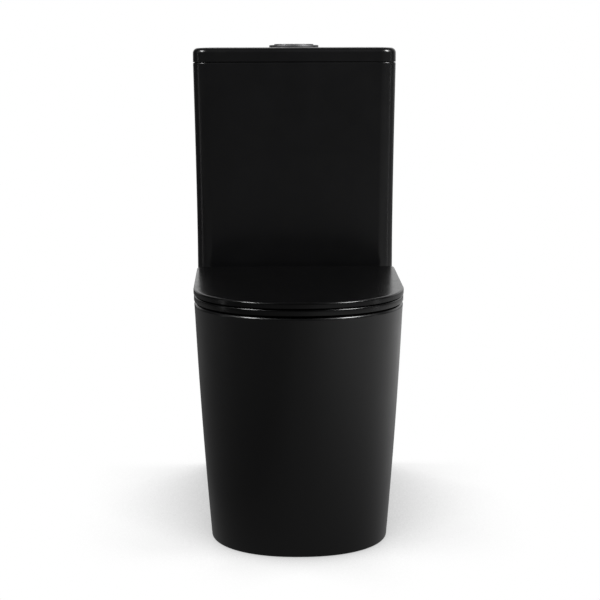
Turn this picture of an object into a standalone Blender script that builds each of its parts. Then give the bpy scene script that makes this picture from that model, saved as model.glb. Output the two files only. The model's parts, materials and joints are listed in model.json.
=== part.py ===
"""Close coupled, back-to-wall toilet with a soft-close seat and a push-button cistern.

Frame: metres, +Z up, origin on the floor at the middle of the toilet's width and depth. +Y points to
the wall and -Y is the front of the pan. Each mesh object is one piece of the toilet, and each empty is
the axis of a joint, with the pieces that move on it as its children.
"""

import math

import bmesh
import bpy
from mathutils import Matrix, Vector

MM = 0.001
TOUCH = 0.3 * MM  # gap between pieces that rest on each other
OVERCUT = 10 * MM  # how far a cutter runs past what it cuts
SINK = 1 * MM  # how far joined shapes run into each other

# Overall sizes
OVERALL_DEPTH = 665 * MM
CISTERN_WIDTH = 368 * MM
CISTERN_FOOT_WIDTH = 358 * MM
CISTERN_DEPTH = 180 * MM
CISTERN_HEIGHT = 415 * MM  # over its lid, from the pan's rim
RIM_Z = 394 * MM
CISTERN_TOP_Z = RIM_Z + CISTERN_HEIGHT
FRONT_Y = -OVERALL_DEPTH / 2
WALL_Y = OVERALL_DEPTH / 2
FACE_Y = WALL_Y - CISTERN_DEPTH  # front face of the cistern
CISTERN_Y = WALL_Y - CISTERN_DEPTH / 2

# Outline that the seat and the rim share: a superelliptical nose on nearly straight sides
SEAT_WIDTH = 346 * MM  # where the nose begins
SEAT_REAR_WIDTH = 355 * MM
SEAT_NOSE = 200 * MM
NOSE_Y = FRONT_Y + SEAT_NOSE
NOSE_POWER = 2.2
NOSE_STEPS = 26
CORNER_STEPS = 3

# Pan
SEAT_PROUD = 1.2 * MM  # the seat stands this far past the rim
PAN_REAR_WIDTH = 354 * MM
PAN_FOOT_WIDTH = 293 * MM
PAN_FOOT_REAR_WIDTH = 300 * MM
FOOT_NOSE = 153 * MM
FOOT_EASE = 0.3  # how much the skirt bulges over a straight taper
SKIRT_LEVELS = 6
SIDE_STEPS = 5  # along each straight side
SKIRT_WALL = 12 * MM
DECK = 14 * MM
JOIN_Z = RIM_Z - DECK / 2  # inside the deck, where the bowl and the duct join it

# Bowl
RIM_LAND = 37 * MM  # from the pan's side to the bowl
NOSE_LAND = 42 * MM  # from the pan's front to the bowl
BOWL_WALL = 10 * MM
BOWL_HALF = SEAT_WIDTH / 2 - RIM_LAND
BOWL_FRONT = SEAT_NOSE - NOSE_LAND
BOWL_REAR = 128 * MM
BOWL_REAR_Y = NOSE_Y + BOWL_REAR
BOWL_STEPS = 28
SUMP_Y = NOSE_Y + 44.5 * MM
SUMP_Z = 72 * MM
# share of the depth, share of the width, share of the way back to the sump
BOWL_PROFILE = (
    (0, 1.0, 0), (0.124, 0.98, 0.02), (0.23, 0.93, 0.08), (0.385, 0.79, 0.3), (0.54, 0.58, 0.62),
    (0.68, 0.42, 0.88), (0.82, 0.345, 1.0), (0.938, 0.3, 1.0), (1.0, 0.18, 1.0),
)
SUMP_SHARE = 0.9  # the outer skin runs below the bowl's floor from here on

# Trap and outlet
TRAP_BORE_R = 38 * MM
TRAP_WALL = 8 * MM
TRAP_RISE = 48 * MM  # from the sump's floor to the middle of the trap's mouth
TRAP_START = 15 * MM
TRAP_RISER = 59 * MM
TRAP_DIP_ANGLE = math.radians(-20)
TRAP_RISE_ANGLE = math.radians(65)
TRAP_FALL_ANGLE = math.radians(-40)
TRAP_DIP_R = 62 * MM
TRAP_CROWN_R = 60 * MM
TRAP_EXIT_R = 70 * MM
TRAP_STEPS = 16
OUTLET_R = 51 * MM
OUTLET_WALL = 6 * MM
OUTLET_Z = 180 * MM
OUTLET_SETBACK = 50 * MM  # from the wall to the outlet's end

# Duct from the cistern's inlet to the back of the bowl
INLET_R = 42 * MM
DUCT_HALF = 40 * MM
DUCT_HEIGHT = 37 * MM
DUCT_CEILING = 22 * MM  # below the rim
DUCT_WALL = 12 * MM

# Seat ring and lid
SEAT_LIFT = 2.2 * MM  # height of the buffers under the ring
RING_THICK = 10.2 * MM
RING_INSET = 0.6 * MM  # the ring stands this far inside the lid
RING_ROUND = 2 * MM
RING_HOLE_WIDTH = 232 * MM
RING_HOLE_FRONT = 58 * MM
RING_HOLE_LENGTH = 268 * MM
RING_HOLE_SHARE = 0.55  # of the hole's length that is ahead of its widest place
RING_HOLE_POWER = 2.1
RING_HOLE_STEPS = 32
LID_GAP = 1.2 * MM
LID_THICK = 10.4 * MM
LID_SKIN = 4.4 * MM
LID_EDGE = 5 * MM
LID_REAR_EDGE = 1.8 * MM
LID_ROUND = 3 * MM
SEAT_CORNER_R = 12 * MM
SEAT_CORNER_LEAST_R = 4 * MM
RING_Z = RIM_Z + SEAT_LIFT
RING_TOP_Z = RING_Z + RING_THICK
LID_Z = RING_TOP_Z + LID_GAP
LID_TOP_Z = LID_Z + LID_THICK
LID_INNER_Z = LID_TOP_Z - LID_SKIN

# Hinges
HINGE_SETBACK = 46 * MM  # hinge axis to the cistern's face
HINGE_SPACING = 155 * MM
HINGE_Y = FACE_Y - HINGE_SETBACK
LID_OVERHANG = 10 * MM  # lid behind the hinge axis
KNUCKLE_R = 7.5 * MM
KNUCKLE_CLEAR = 0.6 * MM  # under the lid's inner face
HINGE_Z = LID_INNER_Z - KNUCKLE_CLEAR - KNUCKLE_R
KNUCKLE_LENGTH = 12 * MM
KNUCKLE_GAP = 0.5 * MM
POST_LENGTH = 16 * MM  # along the hinge axis
POST_DEPTH = 14 * MM
NOTCH_CLEAR = 2 * MM
PIN_R = 3 * MM
PIN_CLEAR = 0.1 * MM
PIN_END = 2.5 * MM  # each end of the pin stops this far inside its knuckle
ARM_REACH = 12 * MM
RING_REAR_Y = HINGE_Y - KNUCKLE_R - 1.5 * MM
DAMPER_R = 6 * MM
DAMPER_LENGTH = 34 * MM
STUD_LENGTH = 46 * MM

# Buffers
SEAT_BUFFER_R = 8 * MM
LID_BUFFER_R = 6 * MM
BUFFER_INSET = 22 * MM
BUFFER_REAR_Y = HINGE_Y - 46.5 * MM
BUFFER_FRONT_Y = NOSE_Y - 72.5 * MM
LID_BUFFER_Y = NOSE_Y - 17.5 * MM

# Cistern
TANK_GAP = 4 * MM  # between the pan and the cistern, where the washer is
TANK_Z = RIM_Z + TANK_GAP
TANK_WALL = 9 * MM
TANK_FLOOR = 14 * MM
TANK_FLOOR_Z = TANK_Z + TANK_FLOOR
COVER_HEIGHT = 25.3 * MM
COVER_Z = CISTERN_TOP_Z - COVER_HEIGHT
COVER_SEAM = 1.7 * MM
TANK_TOP_Z = COVER_Z - COVER_SEAM
FRONT_CORNER_R = 28 * MM
REAR_CORNER_R = 12 * MM
LEAST_CORNER_R = 4 * MM
BOX_CORNER_STEPS = 5
FOOT_ROUND = 6 * MM
LIP_ROUND = 2 * MM
TAPER_START = 46 * MM  # above the rim
TAPER_POWER = 1.5
TAPER_LEVELS = 4
COVER_SKIN = 10 * MM
COVER_RIB = 5 * MM
COVER_RIB_DEPTH = 7 * MM
COVER_RIB_CLEAR = 2 * MM
# depth below the top and inset of the cistern lid's rounded edge, up to its crowned top
COVER_EDGE = (
    (9 * MM, 0), (5 * MM, 1.4 * MM), (2.4 * MM, 4.4 * MM), (1.1 * MM, 9 * MM), (0, 30 * MM),
)

# Fixings
BOLT_X = 75 * MM
BOLT_R = 4 * MM
BOLT_HOLE_R = 7 * MM
BOLT_BORE_R = BOLT_R + 0.2 * MM
BOLT_TAIL = 42 * MM  # below the rim
BOLT_HEAD_R = 9 * MM
BOLT_HEAD_EDGE = 3 * MM
BOLT_HEAD = 5.5 * MM
CONE_R = 12 * MM
CONE_TOP_R = 8 * MM
CONE_EDGE = 3 * MM
CONE_HEIGHT = 6 * MM
NUT_R = 8 * MM
NUT_FLANGE_R = 13 * MM
NUT_FLANGE = 3 * MM
NUT_HEIGHT = 16 * MM
WING_REACH = 17 * MM
WING_THICK = 4 * MM
WING_HEIGHT = 9 * MM
SMALL_STEPS = 12
ROUND_STEPS = 16
WASHER_OVERLAP = 15 * MM

# Floor brackets, side screws and their caps
SIDE_FIX_SETBACK = 112.5 * MM  # from the wall
SIDE_FIX_Y = WALL_Y - SIDE_FIX_SETBACK
SIDE_FIX_Z = 36 * MM
SIDE_SCREW_R = 3 * MM
SIDE_HOLE_R = 4.5 * MM
SCREW_HEAD_R = 5.5 * MM
SCREW_HEAD = 2 * MM
SCREW_TAIL = 8 * MM
BRACKET_PLATE = 5 * MM
BRACKET_FOOT = 34 * MM
BRACKET_LENGTH = 36 * MM
BRACKET_HEIGHT = 62 * MM
BRACKET_CLEAR = 1 * MM
BRACKET_HOLE_R = 4 * MM
CAP_R = 10 * MM
CAP_HEIGHT = 3.8 * MM
CAP_SKIN = 1.5 * MM
CAP_BORE_R = 6.2 * MM
CAP_ROUND = 1 * MM

# Push buttons
BEZEL_R = 45.5 * MM
BEZEL_HEIGHT = 4 * MM
BEZEL_ROUND = 1 * MM
SLEEVE_R = 39 * MM
SLEEVE_BORE_R = 36.8 * MM
SLEEVE_CLEAR = 1.2 * MM
SLEEVE_DEPTH = 27 * MM
SLEEVE_FLOOR = 3 * MM
LOCKNUT_WIDTH = 7 * MM
LOCKNUT_HEIGHT = 8 * MM
BUTTON_CLEAR = 0.5 * MM
BUTTON_THICK = 4.5 * MM
BUTTON_PROUD = 1.9 * MM
BUTTON_SPLIT = 1 * MM
BUTTON_ROUND = 0.8 * MM
BUTTON_STEPS = 14
BEZEL_STEPS = 36
ROD_X = 28 * MM
ROD_R = 2.5 * MM
ROD_HOLE_R = 3.5 * MM
ROD_CLEAR = 1.3 * MM  # above the lever
SPRING_R = 6 * MM
SPRING_WIRE_R = 0.7 * MM
SPRING_TURNS = 4
SPRING_TURN_STEPS = 12
BEZEL_Z = CISTERN_TOP_Z + TOUCH
BEZEL_TOP_Z = BEZEL_Z + BEZEL_HEIGHT
SLEEVE_Z = CISTERN_TOP_Z - SLEEVE_DEPTH
SLEEVE_FLOOR_Z = SLEEVE_Z + SLEEVE_FLOOR
BUTTON_TOP_Z = BEZEL_TOP_Z + BUTTON_PROUD
BUTTON_Z = BUTTON_TOP_Z - BUTTON_THICK

# Flush valve, on the cistern's centre line
VALVE_HOLE_R = 32 * MM
VALVE_TAIL_R = 30 * MM
VALVE_BORE_R = 25 * MM
VALVE_TAIL = 22 * MM  # below the rim
VALVE_FLANGE_R = 46 * MM
VALVE_FLANGE = 4.6 * MM
VALVE_SEAT = 2.5 * MM
VALVE_SEAT_WIDTH = 4 * MM
VALVE_SEAT_SLOPE = 1.5 * MM
VALVE_STEPS = 28
CAGE_R = 42 * MM
CAGE_WALL = 2.5 * MM
CAGE_HEIGHT = 140 * MM
WINDOW_HALF = 14 * MM
WINDOW_LOW = 3 * MM
WINDOW_HIGH = 42 * MM
SEAL_WASHER = 3 * MM
BACKNUT_HEIGHT = 16 * MM
BACKNUT_CLEAR = 2 * MM
VALVE_Z = TANK_FLOOR_Z + SEAL_WASHER + 2 * TOUCH
VALVE_FLANGE_Z = VALVE_Z + VALVE_FLANGE
VALVE_SEAT_Z = VALVE_FLANGE_Z + VALVE_SEAT
CAGE_TOP_Z = VALVE_FLANGE_Z + CAGE_HEIGHT
CAP_PLATE = 5 * MM
EAR_LENGTH = 9 * MM
EAR_THICK = 3 * MM
EAR_Y = 26.5 * MM
EAR_HOLE_R = 2.3 * MM
TUBE_R = 13.5 * MM
TUBE_WALL = 2 * MM
TUBE_LENGTH = 230 * MM
TUBE_CLEAR = 1 * MM
SEAL_R = 34 * MM
SEAL_THICK = 2.4 * MM
DISC_R = 36 * MM
DISC_EDGE = 3 * MM
DISC_HEIGHT = 6 * MM
LEVER_THICK = 5 * MM
LEVER_ARM = 3 * MM
LEVER_PAD = 5 * MM  # each way from the rod
LEVER_PIVOT_X = 17 * MM
LEVER_TIP_X = -4 * MM
LEVER_PIN_R = 1.9 * MM
LEVER_PIN_REACH = 27.5 * MM
FULL_ARM_Y = 16 * MM
HALF_ARM_Y = 20.6 * MM
LEVER_Z = CAGE_TOP_Z + 25.5 * MM  # height of the levers' pivots
COLLAR_R = 19.5 * MM
COLLAR = 3 * MM
COLLAR_Z = LEVER_Z + LEVER_THICK / 2 + 2 * MM
SHOULDER_R = 17 * MM
SHOULDER = 3 * MM
CUP_R = 25 * MM
CUP_CLEAR = 0.8 * MM
CUP_WALL = 2.5 * MM
CUP_DEPTH = 14 * MM
CUP_NECK = 24 * MM
CUP_CEILING_Z = COLLAR_Z + CUP_DEPTH
PIVOT_STEPS = 10

# Fill valve
FILL_X = -120 * MM
FILL_HOLE_R = 12.5 * MM
FILL_DECK_HOLE_R = 23 * MM
SHANK_R = 10.2 * MM
SHANK_BORE_R = 5 * MM
SHANK_TAIL = 64 * MM  # below the rim
FILL_FLANGE_R = 18 * MM
FILL_FLANGE = 4 * MM
FILL_NECK = 8 * MM
TOWER_R = 9 * MM
TOWER_CAP = 10 * MM
TOWER_HEIGHT = 272 * MM
TOWER_TOP_Z = TANK_FLOOR_Z + SEAL_WASHER + TOWER_HEIGHT
FILL_NUT_R = 17 * MM
FILL_NUT_HEIGHT = 9 * MM
HEAD_HEIGHT = 20 * MM
FLOAT_R = 26 * MM
FLOAT_HEIGHT = 50 * MM
FLOAT_DROP = 80 * MM  # from the head to the float's foot
FLOAT_ROUND = 2 * MM
FLOAT_CLEAR = 1.5 * MM
FLOAT_Z = TOWER_TOP_Z - FLOAT_DROP
ARM_Z = TOWER_TOP_Z + 28 * MM
ARM_PIVOT_X = FILL_X - 10 * MM
ARM_HALF_WIDTH = 5 * MM
ARM_HALF_HEIGHT = 2 * MM
ARM_END = 5 * MM
LINK_X = FILL_X + 22 * MM
LINK_R = 1.6 * MM
LINK_CLEAR = 0.5 * MM
HEAD_EAR_Y = 7.5 * MM
HEAD_EAR_HALF = 4 * MM
HEAD_PIN_R = 1.7 * MM
HEAD_PIN_REACH = 9 * MM


# Materials

def material(name, colour, roughness, metallic=0.0):
    made = bpy.data.materials.new(name)
    made.use_nodes = True
    shader = made.node_tree.nodes["Principled BSDF"]
    shader.inputs["Base Color"].default_value = (*colour, 1)
    shader.inputs["Roughness"].default_value = roughness
    shader.inputs["Metallic"].default_value = metallic
    return made


def clear_scene():
    for obj in list(bpy.data.objects):
        bpy.data.objects.remove(obj)


clear_scene()
CERAMIC = material("black_ceramic", (0.012, 0.012, 0.013), 0.42)
SEAT = material("black_seat_resin", (0.011, 0.011, 0.012), 0.38)
CHROME = material("dark_chrome", (0.16, 0.16, 0.17), 0.25, 1.0)
WHITE = material("white_plastic", (0.78, 0.79, 0.8), 0.4)
GREY = material("grey_plastic", (0.33, 0.35, 0.37), 0.45)
RUBBER = material("rubber", (0.03, 0.03, 0.03), 0.8)
STEEL = material("stainless_steel", (0.6, 0.6, 0.61), 0.3, 1.0)
BLACK_PLASTIC = material("black_plastic", (0.015, 0.015, 0.016), 0.4)


# Shapes

def finish_mesh(name, bm, finish):
    bmesh.ops.recalc_face_normals(bm, faces=bm.faces)
    mesh = bpy.data.meshes.new(name)
    bm.to_mesh(mesh)
    bm.free()
    mesh.shade_smooth()
    mesh.set_sharp_from_angle(angle=math.radians(35))
    obj = bpy.data.objects.new(name, mesh)
    if finish:
        mesh.materials.append(finish)
    bpy.context.scene.collection.objects.link(obj)
    return obj


def loft(name, rings, finish=None):
    """A closed solid through rings of points, each with the same number of points."""
    bm = bmesh.new()
    loops = [[bm.verts.new(point) for point in ring] for ring in rings]
    count = len(rings[0])
    for low, high in zip(loops, loops[1:]):
        for i in range(count):
            j = (i + 1) % count
            bm.faces.new((low[i], low[j], high[j], high[i]))
    bm.faces.new(loops[0])
    bm.faces.new(loops[-1])
    return finish_mesh(name, bm, finish)


def extrude(name, outline, low, high, finish=None):
    """A plan outline of (x, y) points made into a solid between two heights."""
    return loft(name, [at_height(outline, low), at_height(outline, high)], finish)


def block(name, low, high, finish=None):
    """A box between two corners."""
    outline = [(low[0], low[1]), (high[0], low[1]), (high[0], high[1]), (low[0], high[1])]
    return extrude(name, outline, low[2], high[2], finish)


AXIS_TURNS = {
    "X": Matrix.Rotation(math.pi / 2, 3, "Y"),
    "Y": Matrix.Rotation(-math.pi / 2, 3, "X"),
    "Z": Matrix.Identity(3),
}


def turn(name, profile, centre, steps=24, finish=None, axis="Z"):
    """A closed profile of (radius, distance along the axis) turned about an axis through centre."""
    bm = bmesh.new()
    verts = [bm.verts.new((radius, 0, height)) for radius, height in profile]
    edges = [bm.edges.new((a, b)) for a, b in zip(verts, verts[1:] + verts[:1])]
    bmesh.ops.spin(
        bm, geom=verts + edges, axis=(0, 0, 1), cent=(0, 0, 0),
        steps=steps, angle=math.tau, use_merge=True,
    )
    bmesh.ops.remove_doubles(bm, verts=bm.verts, dist=1e-7)
    bmesh.ops.rotate(bm, verts=bm.verts, matrix=AXIS_TURNS[axis])
    shift = {"X": (0, *centre), "Y": (centre[0], 0, centre[1]), "Z": (*centre, 0)}[axis]
    bmesh.ops.translate(bm, verts=bm.verts, vec=shift)
    return finish_mesh(name, bm, finish)


def rod(name, radius, low, high, centre, steps=ROUND_STEPS, finish=None, axis="Z"):
    """A solid cylinder between two places along its axis."""
    profile = [(0, low), (radius, low), (radius, high), (0, high)]
    return turn(name, profile, centre, steps, finish, axis)


def collar(name, bore, radius, low, high, centre, steps=24, finish=None):
    """A plain upright washer or tube."""
    profile = [(bore, low), (radius, low), (radius, high), (bore, high)]
    return turn(name, profile, centre, steps, finish)


def combine(target, operation, others):
    for other in others:
        modifier = target.modifiers.new(operation.title(), "BOOLEAN")
        modifier.operation = operation
        modifier.solver = "EXACT"
        modifier.object = other
        other.parent = target
        other.hide_render = True
        other.display_type = "WIRE"


def cut(target, *cutters):
    combine(target, "DIFFERENCE", cutters)


def join(target, *others):
    combine(target, "UNION", others)


def bevel(target, width, segments=2):
    modifier = target.modifiers.new("Bevel", "BEVEL")
    modifier.width = width
    modifier.segments = segments
    modifier.limit_method = "ANGLE"
    modifier.angle_limit = math.radians(40)


def carry(name, at, *names):
    """An empty on a joint's axis, which carries the pieces or further empties that move there."""
    empty = bpy.data.objects.new(name, None)
    empty.location = at
    bpy.context.scene.collection.objects.link(empty)
    for carried in names:
        obj = bpy.data.objects[carried]
        obj.parent = empty
        obj.matrix_parent_inverse = Matrix.Translation(-Vector(at))


# Places and outlines

def sides():
    """(name ending, sign) for the left and the right piece of a pair."""
    return (("left", -1), ("right", 1))


def span(sign, near, far):
    """Two distances from the middle as a low and a high X, on the side that sign gives."""
    return sorted((sign * near, sign * far))


def between(low, high, share):
    return low + (high - low) * share


def at_height(outline, z):
    return [(x, y, z) for x, y in outline]


def superellipse(half, reach, angle, power):
    """A point of a superellipse, with the sign of each direction kept."""
    c, s = math.cos(angle), math.sin(angle)
    x = math.copysign(abs(c) ** (2 / power), c) * half
    y = math.copysign(abs(s) ** (2 / power), s) * reach
    return x, y


def nose_outline(half, rear_half, nose, rear_y, steps, rear_r=0.0):
    """Plan outline with a superelliptical nose, from the right side round the front to the rear."""
    points = [(half, NOSE_Y)]
    for i in range(1, steps):
        x, y = superellipse(half, nose, math.pi * i / steps, NOSE_POWER)
        points.append((x, NOSE_Y - y))
    points.append((-half, NOSE_Y))
    corner = [(rear_half, rear_y)]
    if rear_r:
        corner = []
        for i in range(CORNER_STEPS + 1):
            angle = math.radians(90 * i / CORNER_STEPS)
            x = rear_half - rear_r * (1 - math.cos(angle))
            corner.append((x, rear_y - rear_r * (1 - math.sin(angle))))
    return points + [(-x, y) for x, y in corner] + corner[::-1]


def egg_outline(half, front, rear, centre_y, steps, power=2.0):
    """A closed oval whose reach to the front differs from its reach to the rear."""
    points = []
    for i in range(steps):
        angle = math.tau * i / steps
        reach = front if math.sin(angle) < 0 else rear
        x, y = superellipse(half, reach, angle, power)
        points.append((x, centre_y + y))
    return points


def box_outline(width, front_y, rear_y, front_r, rear_r):
    """A rectangle in plan, whose front corners may be rounder than the rear ones."""
    half = width / 2
    corners = (
        (half - rear_r, rear_y - rear_r, rear_r, 0),
        (-half + rear_r, rear_y - rear_r, rear_r, 90),
        (-half + front_r, front_y + front_r, front_r, 180),
        (half - front_r, front_y + front_r, front_r, 270),
    )
    points = []
    for x, y, r, start in corners:
        for i in range(BOX_CORNER_STEPS + 1):
            angle = math.radians(start + 90 * i / BOX_CORNER_STEPS)
            points.append((x + r * math.cos(angle), y + r * math.sin(angle)))
    return points


# Pan

def pan_section(z, inset=0.0, rear_y=WALL_Y):
    """Plan outline of the skirt at a height, set in by a wall thickness."""
    share = min(max(z / RIM_Z, 0), 1)
    eased = share * (1 + FOOT_EASE) - FOOT_EASE * share**2
    half = between(PAN_FOOT_WIDTH / 2, SEAT_WIDTH / 2 - SEAT_PROUD, eased) - inset
    rear_half = between(PAN_FOOT_REAR_WIDTH / 2, PAN_REAR_WIDTH / 2, eased) - inset
    nose = between(FOOT_NOSE, SEAT_NOSE - SEAT_PROUD, eased) - inset
    outline = nose_outline(half, rear_half, nose, rear_y, NOSE_STEPS)
    # Points along the straight sides, which lean more at the rear than at the nose
    shares = [i / SIDE_STEPS for i in range(1, SIDE_STEPS)]
    left = [(-between(half, rear_half, share), between(NOSE_Y, rear_y, share)) for share in shares]
    right = [(-x, y) for x, y in left[::-1]]
    return outline[:-2] + left + outline[-2:] + right


def skirt_half_at(y, z):
    """Half width of the skirt's side at a place behind the nose."""
    section = pan_section(z)
    rear_half = max(x for x, rear_y in section if rear_y == WALL_Y)
    return between(section[0][0], rear_half, (y - NOSE_Y) / (WALL_Y - NOSE_Y))


def skirt_reach(radius):
    """How far out the skirt comes under a round piece at the side fixing, where the skirt leans."""
    reach = (-radius, radius)
    return max(skirt_half_at(SIDE_FIX_Y + y, SIDE_FIX_Z + z) for y in reach for z in reach)


def skirt(name, inset, top_z, rear_y, finish=None):
    """The skirt's outer form, or its hollow, in level slices. A hollow runs out below the floor."""
    levels = [top_z * i / SKIRT_LEVELS for i in range(SKIRT_LEVELS + 1)]
    rings = [at_height(pan_section(z, inset, rear_y), z) for z in levels]
    if inset:
        rings.insert(0, at_height(pan_section(0, inset, rear_y), -OVERCUT))
    return loft(name, rings, finish)


def bowl(name, wall, past_rim=0.0, finish=None):
    """The bowl's hollow, or with a wall its outer form, which narrows and moves back to the sump."""
    rings = []
    for depth, width, back in BOWL_PROFILE:
        outline = egg_outline(
            BOWL_HALF * width + wall,
            BOWL_FRONT * width + wall,
            between(BOWL_REAR, BOWL_HALF, back) * width + wall,
            between(NOSE_Y, SUMP_Y, back), BOWL_STEPS,
        )
        drop = wall if depth > SUMP_SHARE else 0
        rings.append(at_height(outline, between(RIM_Z, SUMP_Z, depth) - drop))
    if past_rim:
        rings.insert(0, [(x, y, z + past_rim) for x, y, z in rings[0]])
    return loft(name, rings, finish)


def arc(points, heading, to, radius, steps):
    """Carries a line of (y, z) points round a bend that starts at its last point."""
    y, z = points[-1]
    sign = 1 if to > heading else -1
    centre_y = y - sign * radius * math.sin(heading)
    centre_z = z + sign * radius * math.cos(heading)
    for i in range(1, steps + 1):
        angle = between(heading, to, i / steps)
        points.append((
            centre_y + sign * radius * math.sin(angle),
            centre_z - sign * radius * math.cos(angle),
        ))


def straight(points, heading, length):
    y, z = points[-1]
    points.append((y + length * math.cos(heading), z + length * math.sin(heading)))


def trap_line():
    """(y, z, bore radius) along the trap: down from the sump, over the weir and out level."""
    points = [(SUMP_Y + 3 * MM, SUMP_Z + TRAP_RISE)]
    straight(points, TRAP_DIP_ANGLE, TRAP_START)
    arc(points, TRAP_DIP_ANGLE, TRAP_RISE_ANGLE, TRAP_DIP_R, 5)
    straight(points, TRAP_RISE_ANGLE, TRAP_RISER)
    arc(points, TRAP_RISE_ANGLE, TRAP_FALL_ANGLE, TRAP_CROWN_R, 6)
    drop = points[-1][1] - OUTLET_Z - TRAP_EXIT_R * (1 - math.cos(TRAP_FALL_ANGLE))
    straight(points, TRAP_FALL_ANGLE, drop / -math.sin(TRAP_FALL_ANGLE))
    arc(points, TRAP_FALL_ANGLE, 0.0, TRAP_EXIT_R, 3)
    line = [(y, z, TRAP_BORE_R) for y, z in points]
    end_y = WALL_Y - OUTLET_SETBACK
    for y in (between(points[-1][0], end_y, 0.3), end_y):
        line.append((y, OUTLET_Z, OUTLET_R - OUTLET_WALL))
    return line


def trap(name, wall, outlet_wall, past_end=0.0, finish=None):
    """The trap's bore, or with walls its outer form, as a round tube along the trap's line."""
    line = trap_line()
    last_y, last_z, last_r = line[-1]
    line[-1] = (last_y + past_end, last_z, last_r)
    rings = []
    for i, (y, z, bore) in enumerate(line):
        before, after = line[max(i - 1, 0)], line[min(i + 1, len(line) - 1)]
        along = Vector((after[0] - before[0], after[1] - before[1])).normalized()
        radius = bore + (outlet_wall if i >= len(line) - 2 else wall)
        ring = []
        for k in range(TRAP_STEPS):
            angle = math.tau * k / TRAP_STEPS
            up = radius * math.sin(angle)
            ring.append((radius * math.cos(angle), y - along.y * up, z + along.x * up))
        rings.append(ring)
    return loft(name, rings, finish)


def duct(name, wall, front_y, top_z):
    """The duct's bore, or with a wall its casing."""
    ceiling_z = RIM_Z - DUCT_CEILING
    low = (-DUCT_HALF - wall, front_y, ceiling_z - DUCT_HEIGHT - wall)
    return block(name, low, (DUCT_HALF + wall, CISTERN_Y + INLET_R + wall, top_z))


def make_pan():
    """The skirt with its deck and, under that, the duct that brings the flush water."""
    pan = skirt("pan", 0, RIM_Z, WALL_Y, CERAMIC)
    ceiling_z = RIM_Z - DECK
    through = (RIM_Z - 2 * DUCT_CEILING, RIM_Z + OVERCUT)
    side_at = (SIDE_FIX_Y, SIDE_FIX_Z)
    outside = skirt_half_at(*side_at)
    cut(pan, skirt("pan_hollow", SKIRT_WALL, ceiling_z, WALL_Y + OVERCUT))
    join(pan, duct("pan_duct_casing", DUCT_WALL, BOWL_REAR_Y - BOWL_WALL, JOIN_Z))
    cut(
        pan,
        bowl("pan_bowl_room", BOWL_WALL + TOUCH, OVERCUT),
        duct("pan_duct_bore", 0, BOWL_REAR_Y - 2 * BOWL_WALL, RIM_Z - DUCT_CEILING),
        rod("pan_inlet", INLET_R, *through, (0, CISTERN_Y), VALVE_STEPS),
        rod("pan_fill_hole", FILL_DECK_HOLE_R, *through, (FILL_X, CISTERN_Y), 20),
    )
    for side, sign in sides():
        bolt_at = (sign * BOLT_X, CISTERN_Y)
        hinge_at = (sign * HINGE_SPACING / 2, HINGE_Y)
        x_span = span(sign, outside - 4 * SKIRT_WALL, outside + OVERCUT)
        cut(
            pan,
            rod(f"pan_bolt_hole_{side}", BOLT_HOLE_R, *through, bolt_at, SMALL_STEPS),
            rod(f"pan_hinge_hole_{side}", BOLT_HOLE_R, *through, hinge_at, SMALL_STEPS),
            rod(f"pan_side_hole_{side}", SIDE_HOLE_R, *x_span, side_at, SMALL_STEPS, axis="X"),
        )


def make_bowl():
    """The bowl and the trap, which are cast on their own and stuck to the pan before it is fired."""
    body = bowl("pan_bowl", BOWL_WALL, finish=CERAMIC)
    cut(
        body,
        bowl("bowl_hollow", 0, OVERCUT),
        trap("bowl_trap_mouth", 0, 0),
        duct("bowl_duct_mouth", 0, BOWL_REAR_Y - 2 * BOWL_WALL, RIM_Z - DUCT_CEILING),
    )
    pipe = trap("pan_trap", TRAP_WALL, OUTLET_WALL, finish=CERAMIC)
    cut(
        pipe,
        bowl("trap_bowl_room", BOWL_WALL + TOUCH),
        duct("trap_duct_room", DUCT_WALL + TOUCH, BOWL_REAR_Y - BOWL_WALL - TOUCH, JOIN_Z),
        trap("trap_bore", 0, 0, OVERCUT),
    )


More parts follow.
